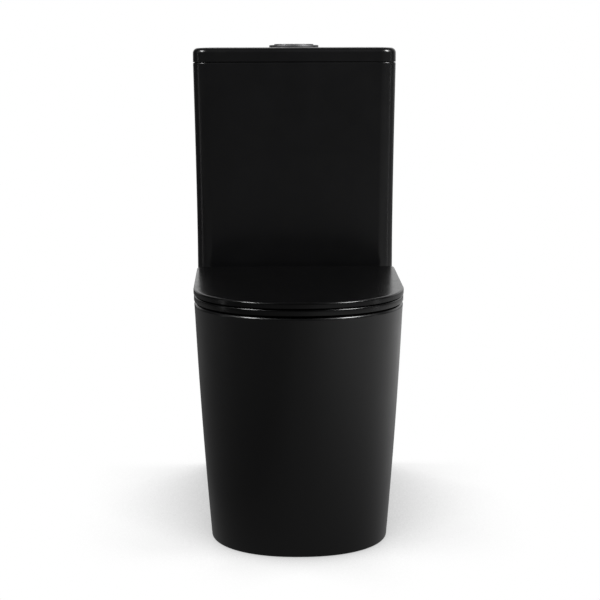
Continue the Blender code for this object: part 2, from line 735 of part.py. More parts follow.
def make_floor_fixings():
    """Angle brackets inside the skirt, the screws through its sides and the caps over them."""
    at = (SIDE_FIX_Y, SIDE_FIX_Z)
    y0, y1 = SIDE_FIX_Y - BRACKET_LENGTH / 2, SIDE_FIX_Y + BRACKET_LENGTH / 2
    # The skirt leans, so its inner face is nearest to the bracket at the floor
    face = min(skirt_half_at(y0, 0), skirt_half_at(y1, 0)) - SKIRT_WALL - BRACKET_CLEAR
    head = skirt_reach(SCREW_HEAD_R) + TOUCH
    foot = skirt_reach(CAP_R) + TOUCH
    top = foot + CAP_HEIGHT
    for side, sign in sides():
        x0, x1 = span(sign, face - BRACKET_PLATE, face)
        bracket = block(f"floor_bracket_{side}", (x0, y0, 0), (x1, y1, BRACKET_HEIGHT), GREY)
        x0, x1 = span(sign, face - BRACKET_FOOT, face - BRACKET_PLATE / 2)
        join(bracket, block(f"bracket_sole_{side}", (x0, y0, 0), (x1, y1, BRACKET_PLATE)))
        x_span = span(sign, face - BRACKET_FOOT / 2, face + OVERCUT)
        sole_at = (sign * (face - BRACKET_FOOT * 0.6), SIDE_FIX_Y)
        hole_r = SIDE_SCREW_R + TOUCH
        cut(
            bracket,
            rod(f"bracket_hole_{side}", hole_r, *x_span, at, SMALL_STEPS, axis="X"),
            rod(f"sole_hole_{side}", BRACKET_HOLE_R, -OVERCUT, OVERCUT, sole_at, SMALL_STEPS),
        )
        tail = face - BRACKET_PLATE - SCREW_TAIL
        screw = [
            (0, tail), (SIDE_SCREW_R, tail), (SIDE_SCREW_R, head), (SCREW_HEAD_R, head),
            (SCREW_HEAD_R, head + SCREW_HEAD), (0, head + SCREW_HEAD),
        ]
        cap = [
            (0, top - CAP_SKIN), (CAP_BORE_R, top - CAP_SKIN), (CAP_BORE_R, foot), (CAP_R, foot),
            (CAP_R, top - CAP_ROUND), (CAP_R - CAP_ROUND, top), (0, top),
        ]
        for name, profile, steps, finish in (
            (f"side_screw_{side}", screw, SMALL_STEPS, STEEL), (f"side_cap_{side}", cap, 24, BLACK_PLASTIC),
        ):
            turn(name, [(radius, sign * x) for radius, x in profile], at, steps, finish, "X")


# Seat

def seat_outline(inset, rear_y):
    rear_r = max(SEAT_CORNER_R - inset, SEAT_CORNER_LEAST_R)
    return nose_outline(
        SEAT_WIDTH / 2 - inset, SEAT_REAR_WIDTH / 2 - inset, SEAT_NOSE - inset,
        rear_y, NOSE_STEPS + 6, rear_r,
    )


def hinge_places(sign):
    """Where the ring's knuckle, the post and the lid's knuckle stand along the hinge axis."""
    middle = sign * HINGE_SPACING / 2
    step = sign * (POST_LENGTH / 2 + KNUCKLE_GAP)
    length = sign * KNUCKLE_LENGTH
    return (
        sorted((middle + step, middle + step + length)),
        (middle - POST_LENGTH / 2, middle + POST_LENGTH / 2),
        sorted((middle - step - length, middle - step)),
    )


def on_hinge(name, radius, x_span, finish=None, steps=20):
    return rod(name, radius, *x_span, (HINGE_Y, HINGE_Z), steps, finish, "X")


def hinge_bore(name, sign):
    """The pin's hole through both knuckles, a little longer than the pin."""
    middle = sign * HINGE_SPACING / 2
    reach = POST_LENGTH / 2 + KNUCKLE_GAP + KNUCKLE_LENGTH - PIN_END + PIN_CLEAR * 5
    return on_hinge(name, PIN_R + PIN_CLEAR, (middle - reach, middle + reach), None, ROUND_STEPS)


def make_seat_ring():
    outline = seat_outline(RING_INSET, RING_REAR_Y)
    ring = extrude("seat_ring", outline, RING_Z, RING_TOP_Z, SEAT)
    hole_front_y = FRONT_Y + RING_HOLE_FRONT
    ahead = RING_HOLE_LENGTH * RING_HOLE_SHARE
    behind = RING_HOLE_LENGTH - ahead
    hole = egg_outline(
        RING_HOLE_WIDTH / 2, ahead, behind, hole_front_y + ahead, RING_HOLE_STEPS, RING_HOLE_POWER
    )
    cut(ring, extrude("seat_ring_hole", hole, RING_Z - OVERCUT, RING_TOP_Z + OVERCUT))
    bevel(ring, RING_ROUND)
    for side, sign in sides():
        x_span, _, _ = hinge_places(sign)
        arm = block(
            f"seat_ring_arm_{side}",
            (x_span[0], RING_REAR_Y - ARM_REACH, HINGE_Z - 5 * MM), (x_span[1], HINGE_Y, HINGE_Z + SINK),
        )
        join(ring, arm, on_hinge(f"seat_ring_knuckle_{side}", KNUCKLE_R, x_span))
        cut(ring, hinge_bore(f"seat_ring_bore_{side}", sign))


def make_seat_lid():
    rear_y = HINGE_Y + LID_OVERHANG
    rings = [at_height(seat_outline(0, rear_y), LID_Z)]
    for i in range(CORNER_STEPS + 1):
        angle = math.radians(90 * i / CORNER_STEPS)
        inset = LID_ROUND * (1 - math.cos(angle))
        z = LID_TOP_Z - LID_ROUND * (1 - math.sin(angle))
        rings.append(at_height(seat_outline(inset, rear_y - inset), z))
    lid = loft("seat_lid", rings, SEAT)
    tray = seat_outline(LID_EDGE, rear_y - LID_REAR_EDGE)
    cut(lid, extrude("seat_lid_tray", tray, LID_Z - OVERCUT, LID_INNER_Z))
    for side, sign in sides():
        _, post_span, x_span = hinge_places(sign)
        # The rear edge is notched, so that it swings past the post
        notch = block(
            f"seat_lid_notch_{side}",
            (post_span[0] - NOTCH_CLEAR, HINGE_Y, LID_Z - OVERCUT),
            (post_span[1] + NOTCH_CLEAR, rear_y + OVERCUT, LID_INNER_Z),
        )
        web = block(
            f"seat_lid_web_{side}",
            (x_span[0], HINGE_Y - 5 * MM, HINGE_Z + 2 * MM),
            (x_span[1], HINGE_Y + 5 * MM, LID_INNER_Z + SINK),
        )
        cut(lid, notch)
        join(lid, on_hinge(f"seat_lid_knuckle_{side}", KNUCKLE_R, x_span), web)
        cut(lid, hinge_bore(f"seat_lid_bore_{side}", sign))


def make_hinges():
    for side, sign in sides():
        _, post_span, _ = hinge_places(sign)
        middle = sign * HINGE_SPACING / 2
        post = block(
            f"hinge_post_{side}",
            (post_span[0], HINGE_Y - POST_DEPTH / 2, RIM_Z + TOUCH),
            (post_span[1], HINGE_Y + POST_DEPTH / 2, HINGE_Z), BLACK_PLASTIC,
        )
        bore_span = (post_span[0] - OVERCUT, post_span[1] + OVERCUT)
        join(post, on_hinge(f"hinge_post_barrel_{side}", KNUCKLE_R, post_span))
        cut(post, on_hinge(f"hinge_post_bore_{side}", PIN_R + TOUCH, bore_span, None, ROUND_STEPS))
        pin_reach = POST_LENGTH / 2 + KNUCKLE_GAP + KNUCKLE_LENGTH - PIN_END
        pin_span = (middle - pin_reach, middle + pin_reach)
        on_hinge(f"hinge_pin_{side}", PIN_R, pin_span, STEEL, ROUND_STEPS)
        rod(
            f"hinge_stud_{side}", BOLT_R, RIM_Z - STUD_LENGTH, RIM_Z, (middle, HINGE_Y),
            SMALL_STEPS, STEEL,
        )
        make_wing_nut(f"hinge_nut_{side}", (middle, HINGE_Y))
        damper = {"left": "seat_damper", "right": "lid_damper"}[side]
        inner = HINGE_SPACING / 2 - POST_LENGTH / 2 - 2 * KNUCKLE_GAP - KNUCKLE_LENGTH
        on_hinge(damper, DAMPER_R, span(sign, inner - DAMPER_LENGTH, inner), GREY, ROUND_STEPS)


def make_wing_nut(name, centre):
    """A plastic nut up against the deck, with a flange and two wings."""
    top_z = RIM_Z - DECK - TOUCH
    foot_z = top_z - NUT_HEIGHT
    profile = [
        (BOLT_BORE_R, foot_z), (NUT_R, foot_z), (NUT_R, top_z - NUT_FLANGE - SINK),
        (NUT_FLANGE_R, top_z - NUT_FLANGE), (NUT_FLANGE_R, top_z), (BOLT_BORE_R, top_z),
    ]
    nut = turn(name, profile, centre, ROUND_STEPS, BLACK_PLASTIC)
    x, y = centre
    for side, sign in sides():
        x0, x1 = span(sign, NUT_R - 1.5 * SINK, WING_REACH)
        wing = block(
            f"{name}_wing_{side}", (x + x0, y - WING_THICK / 2, foot_z + SINK),
            (x + x1, y + WING_THICK / 2, foot_z + SINK + WING_HEIGHT),
        )
        join(nut, wing)


def rim_middle(y):
    """Half way across the rim, from the bowl's edge to the seat's, beside the nose."""
    ahead = NOSE_Y - y
    outer = SEAT_WIDTH / 2 * (1 - (ahead / SEAT_NOSE) ** NOSE_POWER) ** (1 / NOSE_POWER)
    inner = BOWL_HALF * math.sqrt(1 - (ahead / BOWL_FRONT) ** 2)
    return (outer + inner) / 2


def make_buffers():
    """Buffers under the ring, which rest on the rim, and under the lid, which rest on the ring."""
    rear_x = SEAT_WIDTH / 2 - BUFFER_INSET
    lid_x = (SEAT_WIDTH + RING_HOLE_WIDTH) / 4
    ring_span = (RIM_Z + TOUCH, RING_Z - TOUCH)
    lid_span = (RING_TOP_Z + TOUCH, LID_INNER_Z - TOUCH)
    for side, sign in sides():
        rear_at = (sign * rear_x, BUFFER_REAR_Y)
        front_at = (sign * rim_middle(BUFFER_FRONT_Y), BUFFER_FRONT_Y)
        lid_at = (sign * lid_x, LID_BUFFER_Y)
        rod(f"seat_buffer_rear_{side}", SEAT_BUFFER_R, *ring_span, rear_at, finish=RUBBER)
        rod(f"seat_buffer_front_{side}", SEAT_BUFFER_R, *ring_span, front_at, finish=RUBBER)
        rod(f"lid_buffer_{side}", LID_BUFFER_R, *lid_span, lid_at, finish=RUBBER)


# Cistern

def tank_width(z):
    start_z = RIM_Z + TAPER_START
    share = max(0.0, (z - start_z) / (TANK_TOP_Z - start_z))
    return between(CISTERN_FOOT_WIDTH, CISTERN_WIDTH, share**TAPER_POWER)


def tank_section(z, inset):
    return box_outline(
        tank_width(z) - 2 * inset, FACE_Y + inset, WALL_Y - inset,
        max(FRONT_CORNER_R - inset, LEAST_CORNER_R), max(REAR_CORNER_R - inset, LEAST_CORNER_R),
    )


def make_tank():
    levels = [(TANK_Z, FOOT_ROUND), (TANK_Z + FOOT_ROUND, 0)]
    start_z = RIM_Z + TAPER_START
    for i in range(1, TAPER_LEVELS + 1):
        levels.append((between(start_z, TANK_TOP_Z, i / (TAPER_LEVELS + 1)), 0))
    levels += [(TANK_TOP_Z - LIP_ROUND, 0), (TANK_TOP_Z, LIP_ROUND)]
    rings = []
    for z, inset in levels:
        outline = box_outline(
            tank_width(z) - 2 * inset, FACE_Y + inset, WALL_Y, FRONT_CORNER_R, REAR_CORNER_R
        )
        rings.append(at_height(outline, z))
    tank = loft("cistern_tank", rings, CERAMIC)
    middle_z = between(TANK_FLOOR_Z, TANK_TOP_Z, 0.5)
    hollow = [
        at_height(tank_section(TANK_FLOOR_Z, TANK_WALL), TANK_FLOOR_Z),
        at_height(tank_section(middle_z, TANK_WALL), middle_z),
        at_height(tank_section(TANK_TOP_Z, TANK_WALL), TANK_TOP_Z + OVERCUT),
    ]
    cut(tank, loft("tank_hollow", hollow))
    through = (TANK_Z - OVERCUT, TANK_FLOOR_Z + OVERCUT)
    for name, radius, x, steps in (
        ("tank_valve_hole", VALVE_HOLE_R, 0, VALVE_STEPS),
        ("tank_fill_hole", FILL_HOLE_R, FILL_X, ROUND_STEPS),
        ("tank_bolt_hole_left", BOLT_HOLE_R, -BOLT_X, SMALL_STEPS),
        ("tank_bolt_hole_right", BOLT_HOLE_R, BOLT_X, SMALL_STEPS),
    ):
        cut(tank, rod(name, radius, *through, (x, CISTERN_Y), steps))


def make_cover():
    """The cistern's lid: a crowned slab, hollow beneath, with a rib that drops inside the tank."""
    rings = []
    for depth, inset in ((COVER_HEIGHT, 0), *COVER_EDGE):
        outline = box_outline(
            CISTERN_WIDTH - 2 * inset, FACE_Y + inset, WALL_Y - inset,
            max(FRONT_CORNER_R - inset, LEAST_CORNER_R), max(REAR_CORNER_R - inset, LEAST_CORNER_R),
        )
        rings.append(at_height(outline, CISTERN_TOP_Z - depth))
    cover = loft("cistern_lid", rings, CERAMIC)
    rib_inset = TANK_WALL + COVER_RIB_CLEAR
    rib_z = TANK_TOP_Z - COVER_RIB_DEPTH
    rib = tank_section(TANK_TOP_Z, rib_inset)
    hollow = tank_section(TANK_TOP_Z, rib_inset + COVER_RIB)
    join(cover, extrude("cover_rib", rib, rib_z, COVER_Z + 4 * SINK))
    sleeve_hole = rod(
        "cover_button_hole", SLEEVE_R + SLEEVE_CLEAR, COVER_Z, CISTERN_TOP_Z + OVERCUT,
        (0, CISTERN_Y), BEZEL_STEPS,
    )
    cut(cover, extrude("cover_hollow", hollow, rib_z - OVERCUT, CISTERN_TOP_Z - COVER_SKIN), sleeve_hole)


def make_coupling():
    """What holds the cistern on the pan and seals between them."""
    collar(
        "doughnut_washer", INLET_R - 0.5 * SINK, INLET_R + WASHER_OVERLAP, RIM_Z + TOUCH,
        TANK_Z - TOUCH, (0, CISTERN_Y), VALVE_STEPS, RUBBER,
    )
    cone_z = TANK_FLOOR_Z + TOUCH
    cone_top_z = TANK_FLOOR_Z + CONE_HEIGHT
    head_z = cone_top_z + TOUCH
    cone = [
        (BOLT_BORE_R, cone_z), (CONE_R, cone_z), (CONE_R, TANK_FLOOR_Z + CONE_EDGE),
        (CONE_TOP_R, cone_top_z), (BOLT_BORE_R, cone_top_z),
    ]
    bolt = [
        (0, RIM_Z - BOLT_TAIL), (BOLT_R, RIM_Z - BOLT_TAIL), (BOLT_R, head_z), (BOLT_HEAD_R, head_z),
        (BOLT_HEAD_R, head_z + BOLT_HEAD_EDGE), (BOLT_HEAD_R - BOLT_HEAD_EDGE, head_z + BOLT_HEAD),
        (0, head_z + BOLT_HEAD),
    ]
    for side, sign in sides():
        centre = (sign * BOLT_X, CISTERN_Y)
        turn(f"coupling_cone_{side}", cone, centre, ROUND_STEPS, RUBBER)
        turn(f"coupling_bolt_{side}", bolt, centre, SMALL_STEPS, STEEL)
        make_wing_nut(f"coupling_nut_{side}", centre)


# Flush valve

def make_valve_body():
    centre = (0, CISTERN_Y)
    washer_z = TANK_FLOOR_Z + TOUCH
    collar(
        "valve_washer", VALVE_HOLE_R + SINK, VALVE_FLANGE_R, washer_z, washer_z + SEAL_WASHER,
        centre, VALVE_STEPS, RUBBER,
    )
    tail_z = RIM_Z - VALVE_TAIL
    seat_r = VALVE_BORE_R + VALVE_SEAT_WIDTH
    profile = [
        (VALVE_BORE_R, tail_z), (VALVE_TAIL_R, tail_z), (VALVE_TAIL_R, VALVE_Z),
        (VALVE_FLANGE_R, VALVE_Z), (VALVE_FLANGE_R, VALVE_FLANGE_Z), (CAGE_R, VALVE_FLANGE_Z),
        (CAGE_R, CAGE_TOP_Z), (CAGE_R - CAGE_WALL, CAGE_TOP_Z), (CAGE_R - CAGE_WALL, VALVE_FLANGE_Z),
        (seat_r + VALVE_SEAT_SLOPE, VALVE_FLANGE_Z), (seat_r, VALVE_SEAT_Z), (VALVE_BORE_R, VALVE_SEAT_Z),
    ]
    body = turn("flush_valve_body", profile, centre, VALVE_STEPS, WHITE)
    low_z, high_z = VALVE_FLANGE_Z + WINDOW_LOW, VALVE_FLANGE_Z + WINDOW_HIGH
    reach = CAGE_R + OVERCUT
    for name, half_x, half_y in (
        ("valve_window_x", reach, WINDOW_HALF), ("valve_window_y", WINDOW_HALF, reach),
    ):
        low = (-half_x, CISTERN_Y - half_y, low_z)
        cut(body, block(name, low, (half_x, CISTERN_Y + half_y, high_z)))
    nut_top_z = TANK_Z - TOUCH
    collar(
        "flush_valve_nut", VALVE_TAIL_R + TOUCH, INLET_R - BACKNUT_CLEAR, nut_top_z - BACKNUT_HEIGHT,
        nut_top_z, centre, VALVE_STEPS, BLACK_PLASTIC,
    )


def make_valve_cap():
    """The cap on the cage, whose four ears carry the two levers."""
    cap_z = CAGE_TOP_Z + TOUCH
    centre = (0, CISTERN_Y)
    cap = collar(
        "flush_valve_cap", TUBE_R + TUBE_CLEAR, CAGE_R, cap_z, cap_z + CAP_PLATE, centre, finish=GREY
    )
    for side, sign in sides():
        for place, forward in (("front", -1), ("rear", 1)):
            x, y = sign * LEVER_PIVOT_X, CISTERN_Y + forward * EAR_Y
            ear = block(
                f"cap_ear_{place}_{side}",
                (x - EAR_LENGTH / 2, y - EAR_THICK / 2, cap_z + 2 * SINK),
                (x + EAR_LENGTH / 2, y + EAR_THICK / 2, LEVER_Z + EAR_LENGTH / 2),
            )
            join(cap, ear)
        y_span = (CISTERN_Y - 2 * EAR_Y, CISTERN_Y + 2 * EAR_Y)
        pivot_at = (sign * LEVER_PIVOT_X, LEVER_Z)
        cut(cap, rod(f"cap_pivot_hole_{side}", EAR_HOLE_R, *y_span, pivot_at, PIVOT_STEPS, axis="Y"))


def make_tube_and_seal():
    """The overflow tube with its disc, the seal under it and the cup that slides on the tube."""
    centre = (0, CISTERN_Y)
    bore = TUBE_R - TUBE_WALL
    foot_z = VALVE_SEAT_Z - 2 * SINK
    seal_z = VALVE_SEAT_Z + TOUCH
    disc_z = seal_z + SEAL_THICK + TOUCH
    shoulder_z = CUP_CEILING_Z - SHOULDER
    top_z = VALVE_SEAT_Z + TUBE_LENGTH
    tube = [
        (bore, foot_z), (TUBE_R, foot_z), (TUBE_R, disc_z), (DISC_R, disc_z),
        (DISC_R, disc_z + DISC_EDGE), (TUBE_R, disc_z + DISC_HEIGHT),
        (TUBE_R, COLLAR_Z), (COLLAR_R, COLLAR_Z), (COLLAR_R, COLLAR_Z + COLLAR),
        (TUBE_R, COLLAR_Z + COLLAR), (TUBE_R, shoulder_z), (SHOULDER_R, shoulder_z),
        (SHOULDER_R, CUP_CEILING_Z - TOUCH), (TUBE_R, CUP_CEILING_Z - TOUCH),
        (TUBE_R, top_z), (bore, top_z),
    ]
    turn("overflow_tube", tube, centre, finish=GREY)
    collar("flush_seal", TUBE_R + TOUCH, SEAL_R, seal_z, disc_z - TOUCH, centre, finish=RUBBER)
    neck_r = TUBE_R + 2 * TOUCH
    skirt_r = COLLAR_R + CUP_CLEAR
    neck_z = CUP_CEILING_Z + CUP_NECK
    roof_z = CUP_CEILING_Z + CUP_WALL
    cup = [
        (neck_r, CUP_CEILING_Z), (neck_r, neck_z), (neck_r + CUP_WALL, neck_z), (neck_r + CUP_WALL, roof_z),
        (CUP_R, roof_z), (CUP_R, COLLAR_Z), (skirt_r, COLLAR_Z), (skirt_r, CUP_CEILING_Z),
    ]
    turn("half_flush_cup", cup, centre, finish=WHITE)


def make_levers():
    """Two forks that straddle the tube. One lifts the tube by its collar and the other the cup."""
    low_z, high_z = LEVER_Z - LEVER_THICK / 2, LEVER_Z + LEVER_THICK / 2
    for name, sign, arm_y in (
        ("full_flush_lever", 1, FULL_ARM_Y), ("half_flush_lever", -1, HALF_ARM_Y),
    ):
        outer = arm_y + LEVER_ARM
        pad_span = span(sign, ROD_X - LEVER_PAD, ROD_X + LEVER_PAD)
        arm_span = span(sign, LEVER_TIP_X, ROD_X - LEVER_ARM)
        lever = block(
            name, (pad_span[0], CISTERN_Y - outer, low_z), (pad_span[1], CISTERN_Y + outer, high_z), GREY
        )
        for place, forward in (("front", -1), ("rear", 1)):
            y0, y1 = span(forward, arm_y, outer)
            arm = block(
                f"{name}_{place}_arm", (arm_span[0], CISTERN_Y + y0, low_z),
                (arm_span[1], CISTERN_Y + y1, high_z),
            )
            y0, y1 = span(forward, outer - SINK, LEVER_PIN_REACH)
            pin = rod(
                f"{name}_{place}_pin", LEVER_PIN_R, CISTERN_Y + y0, CISTERN_Y + y1,
                (sign * LEVER_PIVOT_X, LEVER_Z), PIVOT_STEPS, axis="Y",
            )
            join(lever, arm, pin)


# Push buttons

def half_disc(sign, radius):
    """Plan outline of one button: the part of a disc on one side of the split."""
    start = math.acos(BUTTON_SPLIT / 2 / radius)
    points = []
    for i in range(BUTTON_STEPS + 1):
        angle = between(-start, start, i / BUTTON_STEPS)
        points.append((sign * radius * math.cos(angle), CISTERN_Y + radius * math.sin(angle)))
    return points


def coil(name, centre, low, high, finish):
    """A compression spring as a round wire along a helix."""
    curve = bpy.data.curves.new(name, "CURVE")
    curve.dimensions = "3D"
    curve.bevel_depth = SPRING_WIRE_R
    curve.bevel_resolution = 0
    curve.use_fill_caps = True
    curve.materials.append(finish)
    steps = SPRING_TURN_STEPS * SPRING_TURNS
    spline = curve.splines.new("POLY")
    spline.points.add(steps)
    for i, point in enumerate(spline.points):
        angle = math.tau * i / SPRING_TURN_STEPS
        x = centre[0] + SPRING_R * math.cos(angle)
        y = centre[1] + SPRING_R * math.sin(angle)
        point.co = (x, y, between(low + SPRING_WIRE_R, high - SPRING_WIRE_R, i / steps), 1)
    bpy.context.scene.collection.objects.link(bpy.data.objects.new(name, curve))


def make_buttons():
    centre = (0, CISTERN_Y)
    profile = [
        (0, SLEEVE_Z), (SLEEVE_R, SLEEVE_Z), (SLEEVE_R, BEZEL_Z), (BEZEL_R, BEZEL_Z),
        (BEZEL_R, BEZEL_TOP_Z - BEZEL_ROUND), (BEZEL_R - BEZEL_ROUND, BEZEL_TOP_Z),
        (SLEEVE_BORE_R, BEZEL_TOP_Z), (SLEEVE_BORE_R, SLEEVE_FLOOR_Z), (0, SLEEVE_FLOOR_Z),
    ]
    bezel = turn("button_bezel", profile, centre, BEZEL_STEPS, CHROME)
    nut_top_z = CISTERN_TOP_Z - COVER_SKIN - TOUCH
    collar(
        "button_locknut", SLEEVE_R + TOUCH, SLEEVE_R + LOCKNUT_WIDTH, nut_top_z - LOCKNUT_HEIGHT,
        nut_top_z, centre, BEZEL_STEPS, GREY,
    )
    rod_z = LEVER_Z + LEVER_THICK / 2 + ROD_CLEAR
    for kind, sign in (("full", 1), ("half", -1)):
        at = (sign * ROD_X, CISTERN_Y)
        hole_span = (SLEEVE_Z - OVERCUT, SLEEVE_FLOOR_Z + OVERCUT)
        cut(bezel, rod(f"bezel_rod_hole_{kind}", ROD_HOLE_R, *hole_span, at, SMALL_STEPS))
        outline = half_disc(sign, SLEEVE_BORE_R - BUTTON_CLEAR)
        bevel(extrude(f"{kind}_flush_button", outline, BUTTON_Z, BUTTON_TOP_Z, CHROME), BUTTON_ROUND)
        rod(f"{kind}_flush_rod", ROD_R, rod_z, BUTTON_Z - TOUCH, at, SMALL_STEPS, WHITE)
        coil(f"{kind}_flush_spring", at, SLEEVE_FLOOR_Z + TOUCH, BUTTON_Z - TOUCH, STEEL)


# Fill valve

def make_fill_valve():
    centre = (FILL_X, CISTERN_Y)
    washer_z = TANK_FLOOR_Z + TOUCH
    flange_z = washer_z + SEAL_WASHER + TOUCH
    shank_z = RIM_Z - SHANK_TAIL
    collar(
        "fill_valve_washer", SHANK_R + TOUCH, FILL_FLANGE_R, washer_z, washer_z + SEAL_WASHER,
        centre, ROUND_STEPS, RUBBER,
    )
    body = [
        (SHANK_BORE_R, shank_z), (SHANK_R, shank_z), (SHANK_R, flange_z), (FILL_FLANGE_R, flange_z),
        (FILL_FLANGE_R, flange_z + FILL_FLANGE), (TOWER_R, flange_z + FILL_NECK),
        (TOWER_R, TOWER_TOP_Z), (0, TOWER_TOP_Z), (0, TOWER_TOP_Z - TOWER_CAP),
        (SHANK_BORE_R, TOWER_TOP_Z - TOWER_CAP),
    ]
    turn("fill_valve_body", body, centre, ROUND_STEPS, WHITE)
    nut_top_z = TANK_Z - TOUCH
    nut_z = nut_top_z - FILL_NUT_HEIGHT
    nut = rod("fill_valve_nut", FILL_NUT_R, nut_z, nut_top_z, centre, 6, WHITE)
    bore_span = (nut_z - OVERCUT, nut_top_z + OVERCUT)
    cut(nut, rod("fill_nut_bore", SHANK_R + TOUCH, *bore_span, centre))


def make_fill_head():
    """The head on the tower, whose two ears carry the float arm."""
    centre = (FILL_X, CISTERN_Y)
    head_z = TOWER_TOP_Z + TOUCH
    head_top_z = head_z + HEAD_HEIGHT
    head = rod("fill_valve_head", FILL_FLANGE_R, head_z, head_top_z, centre, 20, GREY)
    for place, forward in (("front", -1), ("rear", 1)):
        y = CISTERN_Y + forward * HEAD_EAR_Y
        ear = block(
            f"head_ear_{place}",
            (ARM_PIVOT_X - HEAD_EAR_HALF, y - EAR_THICK / 2, head_top_z - 5 * SINK),
            (ARM_PIVOT_X + HEAD_EAR_HALF, y + EAR_THICK / 2, ARM_Z + HEAD_EAR_HALF),
        )
        join(head, ear)
    y_span = (CISTERN_Y - 2 * HEAD_PIN_REACH, CISTERN_Y + 2 * HEAD_PIN_REACH)
    hole_r = HEAD_PIN_R + TOUCH
    cut(head, rod("head_pin_hole", hole_r, *y_span, (ARM_PIVOT_X, ARM_Z), PIVOT_STEPS, axis="Y"))


def make_float():
    """The float on the tower, its link, and the arm that the link lifts."""
    bore = TOWER_R + FLOAT_CLEAR
    top_z = FLOAT_Z + FLOAT_HEIGHT
    profile = [
        (bore, FLOAT_Z), (FLOAT_R - FLOAT_ROUND, FLOAT_Z), (FLOAT_R, FLOAT_Z + FLOAT_ROUND),
        (FLOAT_R, top_z - FLOAT_ROUND), (FLOAT_R - FLOAT_ROUND, top_z), (bore, top_z),
    ]
    turn("fill_valve_float", profile, (FILL_X, CISTERN_Y), finish=WHITE)
    arm_z = ARM_Z - ARM_HALF_HEIGHT
    rod("float_link", LINK_R, top_z + TOUCH, arm_z - LINK_CLEAR, (LINK_X, CISTERN_Y), 8, STEEL)
    arm = block(
        "float_arm", (ARM_PIVOT_X - HEAD_EAR_HALF, CISTERN_Y - ARM_HALF_WIDTH, arm_z),
        (LINK_X + ARM_END, CISTERN_Y + ARM_HALF_WIDTH, ARM_Z + ARM_HALF_HEIGHT), WHITE,
    )
    y_span = (CISTERN_Y - HEAD_PIN_REACH, CISTERN_Y + HEAD_PIN_REACH)
    join(arm, rod("float_arm_pin", HEAD_PIN_R, *y_span, (ARM_PIVOT_X, ARM_Z), PIVOT_STEPS, axis="Y"))


def add_joints():
    """One empty for each moving body, on its joint's axis."""
    hinge = (0, HINGE_Y, HINGE_Z)
    carry(
        "lid_hinge", hinge, "seat_lid", "lid_damper", "hinge_pin_right", "lid_buffer_left", "lid_buffer_right"
    )
    carry(
        "seat_hinge", hinge, "seat_ring", "seat_damper", "hinge_pin_left", "lid_hinge",
        "seat_buffer_front_left", "seat_buffer_front_right", "seat_buffer_rear_left", "seat_buffer_rear_right",
    )
    for kind, sign in (("full", 1), ("half", -1)):
        button_at = (sign * ROD_X, CISTERN_Y, BUTTON_TOP_Z)
        carry(f"{kind}_button_press", button_at, f"{kind}_flush_button", f"{kind}_flush_rod")
        carry(f"{kind}_lever_pivot", (sign * LEVER_PIVOT_X, CISTERN_Y, LEVER_Z), f"{kind}_flush_lever")
    carry(
        "cistern_lid_lift", (0, CISTERN_Y, COVER_Z), "cistern_lid", "button_bezel", "button_locknut",
        "full_flush_spring", "half_flush_spring", "full_button_press", "half_button_press",
    )
    carry("half_cup_lift", (0, CISTERN_Y, CUP_CEILING_Z), "half_flush_cup")
    carry("tube_lift", (0, CISTERN_Y, VALVE_SEAT_Z), "overflow_tube", "flush_seal", "half_cup_lift")
    carry("float_rise", (FILL_X, CISTERN_Y, FLOAT_Z), "fill_valve_float", "float_link")
    carry("float_arm_pivot", (ARM_PIVOT_X, CISTERN_Y, ARM_Z), "float_arm")


make_pan()
make_bowl()
make_floor_fixings()
make_seat_ring()
make_seat_lid()
make_hinges()
make_buffers()
make_tank()
make_cover()
make_coupling()
make_valve_body()
make_valve_cap()
make_tube_and_seal()
make_levers()
make_buttons()
make_fill_valve()
make_fill_head()
make_float()
add_joints()
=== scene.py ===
"""Finished look of a black close coupled toilet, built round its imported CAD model.

Every length is in metres, in the CAD model's frame: the front of the pan is at -Y and the wall at +Y.
"""

import json
import math

import bmesh
import bpy
from bpy.props import FloatProperty, FloatVectorProperty, PointerProperty
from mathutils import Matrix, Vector


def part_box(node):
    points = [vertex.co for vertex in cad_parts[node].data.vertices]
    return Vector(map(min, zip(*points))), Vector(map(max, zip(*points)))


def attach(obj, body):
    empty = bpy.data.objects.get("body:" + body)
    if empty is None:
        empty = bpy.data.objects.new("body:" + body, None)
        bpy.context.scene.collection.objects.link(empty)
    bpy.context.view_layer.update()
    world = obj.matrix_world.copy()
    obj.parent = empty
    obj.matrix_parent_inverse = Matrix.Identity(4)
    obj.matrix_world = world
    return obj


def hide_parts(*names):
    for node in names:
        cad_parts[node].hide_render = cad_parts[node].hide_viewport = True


bl_info = {
    "name": "Close Coupled Toilet",
    "version": (1, 0, 0),
    "blender": (4, 5, 0),
    "location": "View3D > Sidebar > Toilet",
    "description": "Builds the ceramics, seat, push buttons and studio of a black close coupled toilet",
    "category": "Object",
}

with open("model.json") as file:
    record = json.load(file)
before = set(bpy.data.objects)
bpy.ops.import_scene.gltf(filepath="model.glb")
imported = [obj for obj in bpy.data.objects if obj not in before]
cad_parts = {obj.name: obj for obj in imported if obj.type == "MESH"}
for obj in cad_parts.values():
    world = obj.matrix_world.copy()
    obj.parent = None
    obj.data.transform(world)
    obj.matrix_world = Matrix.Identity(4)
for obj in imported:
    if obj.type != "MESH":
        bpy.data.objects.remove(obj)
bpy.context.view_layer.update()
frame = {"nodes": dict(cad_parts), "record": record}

MM = 0.001
ROOT = "pan_and_cistern"
SHARP_EDGE = 35
SEAT_SHARP_EDGE = 40
CUT_PAST = 10 * MM

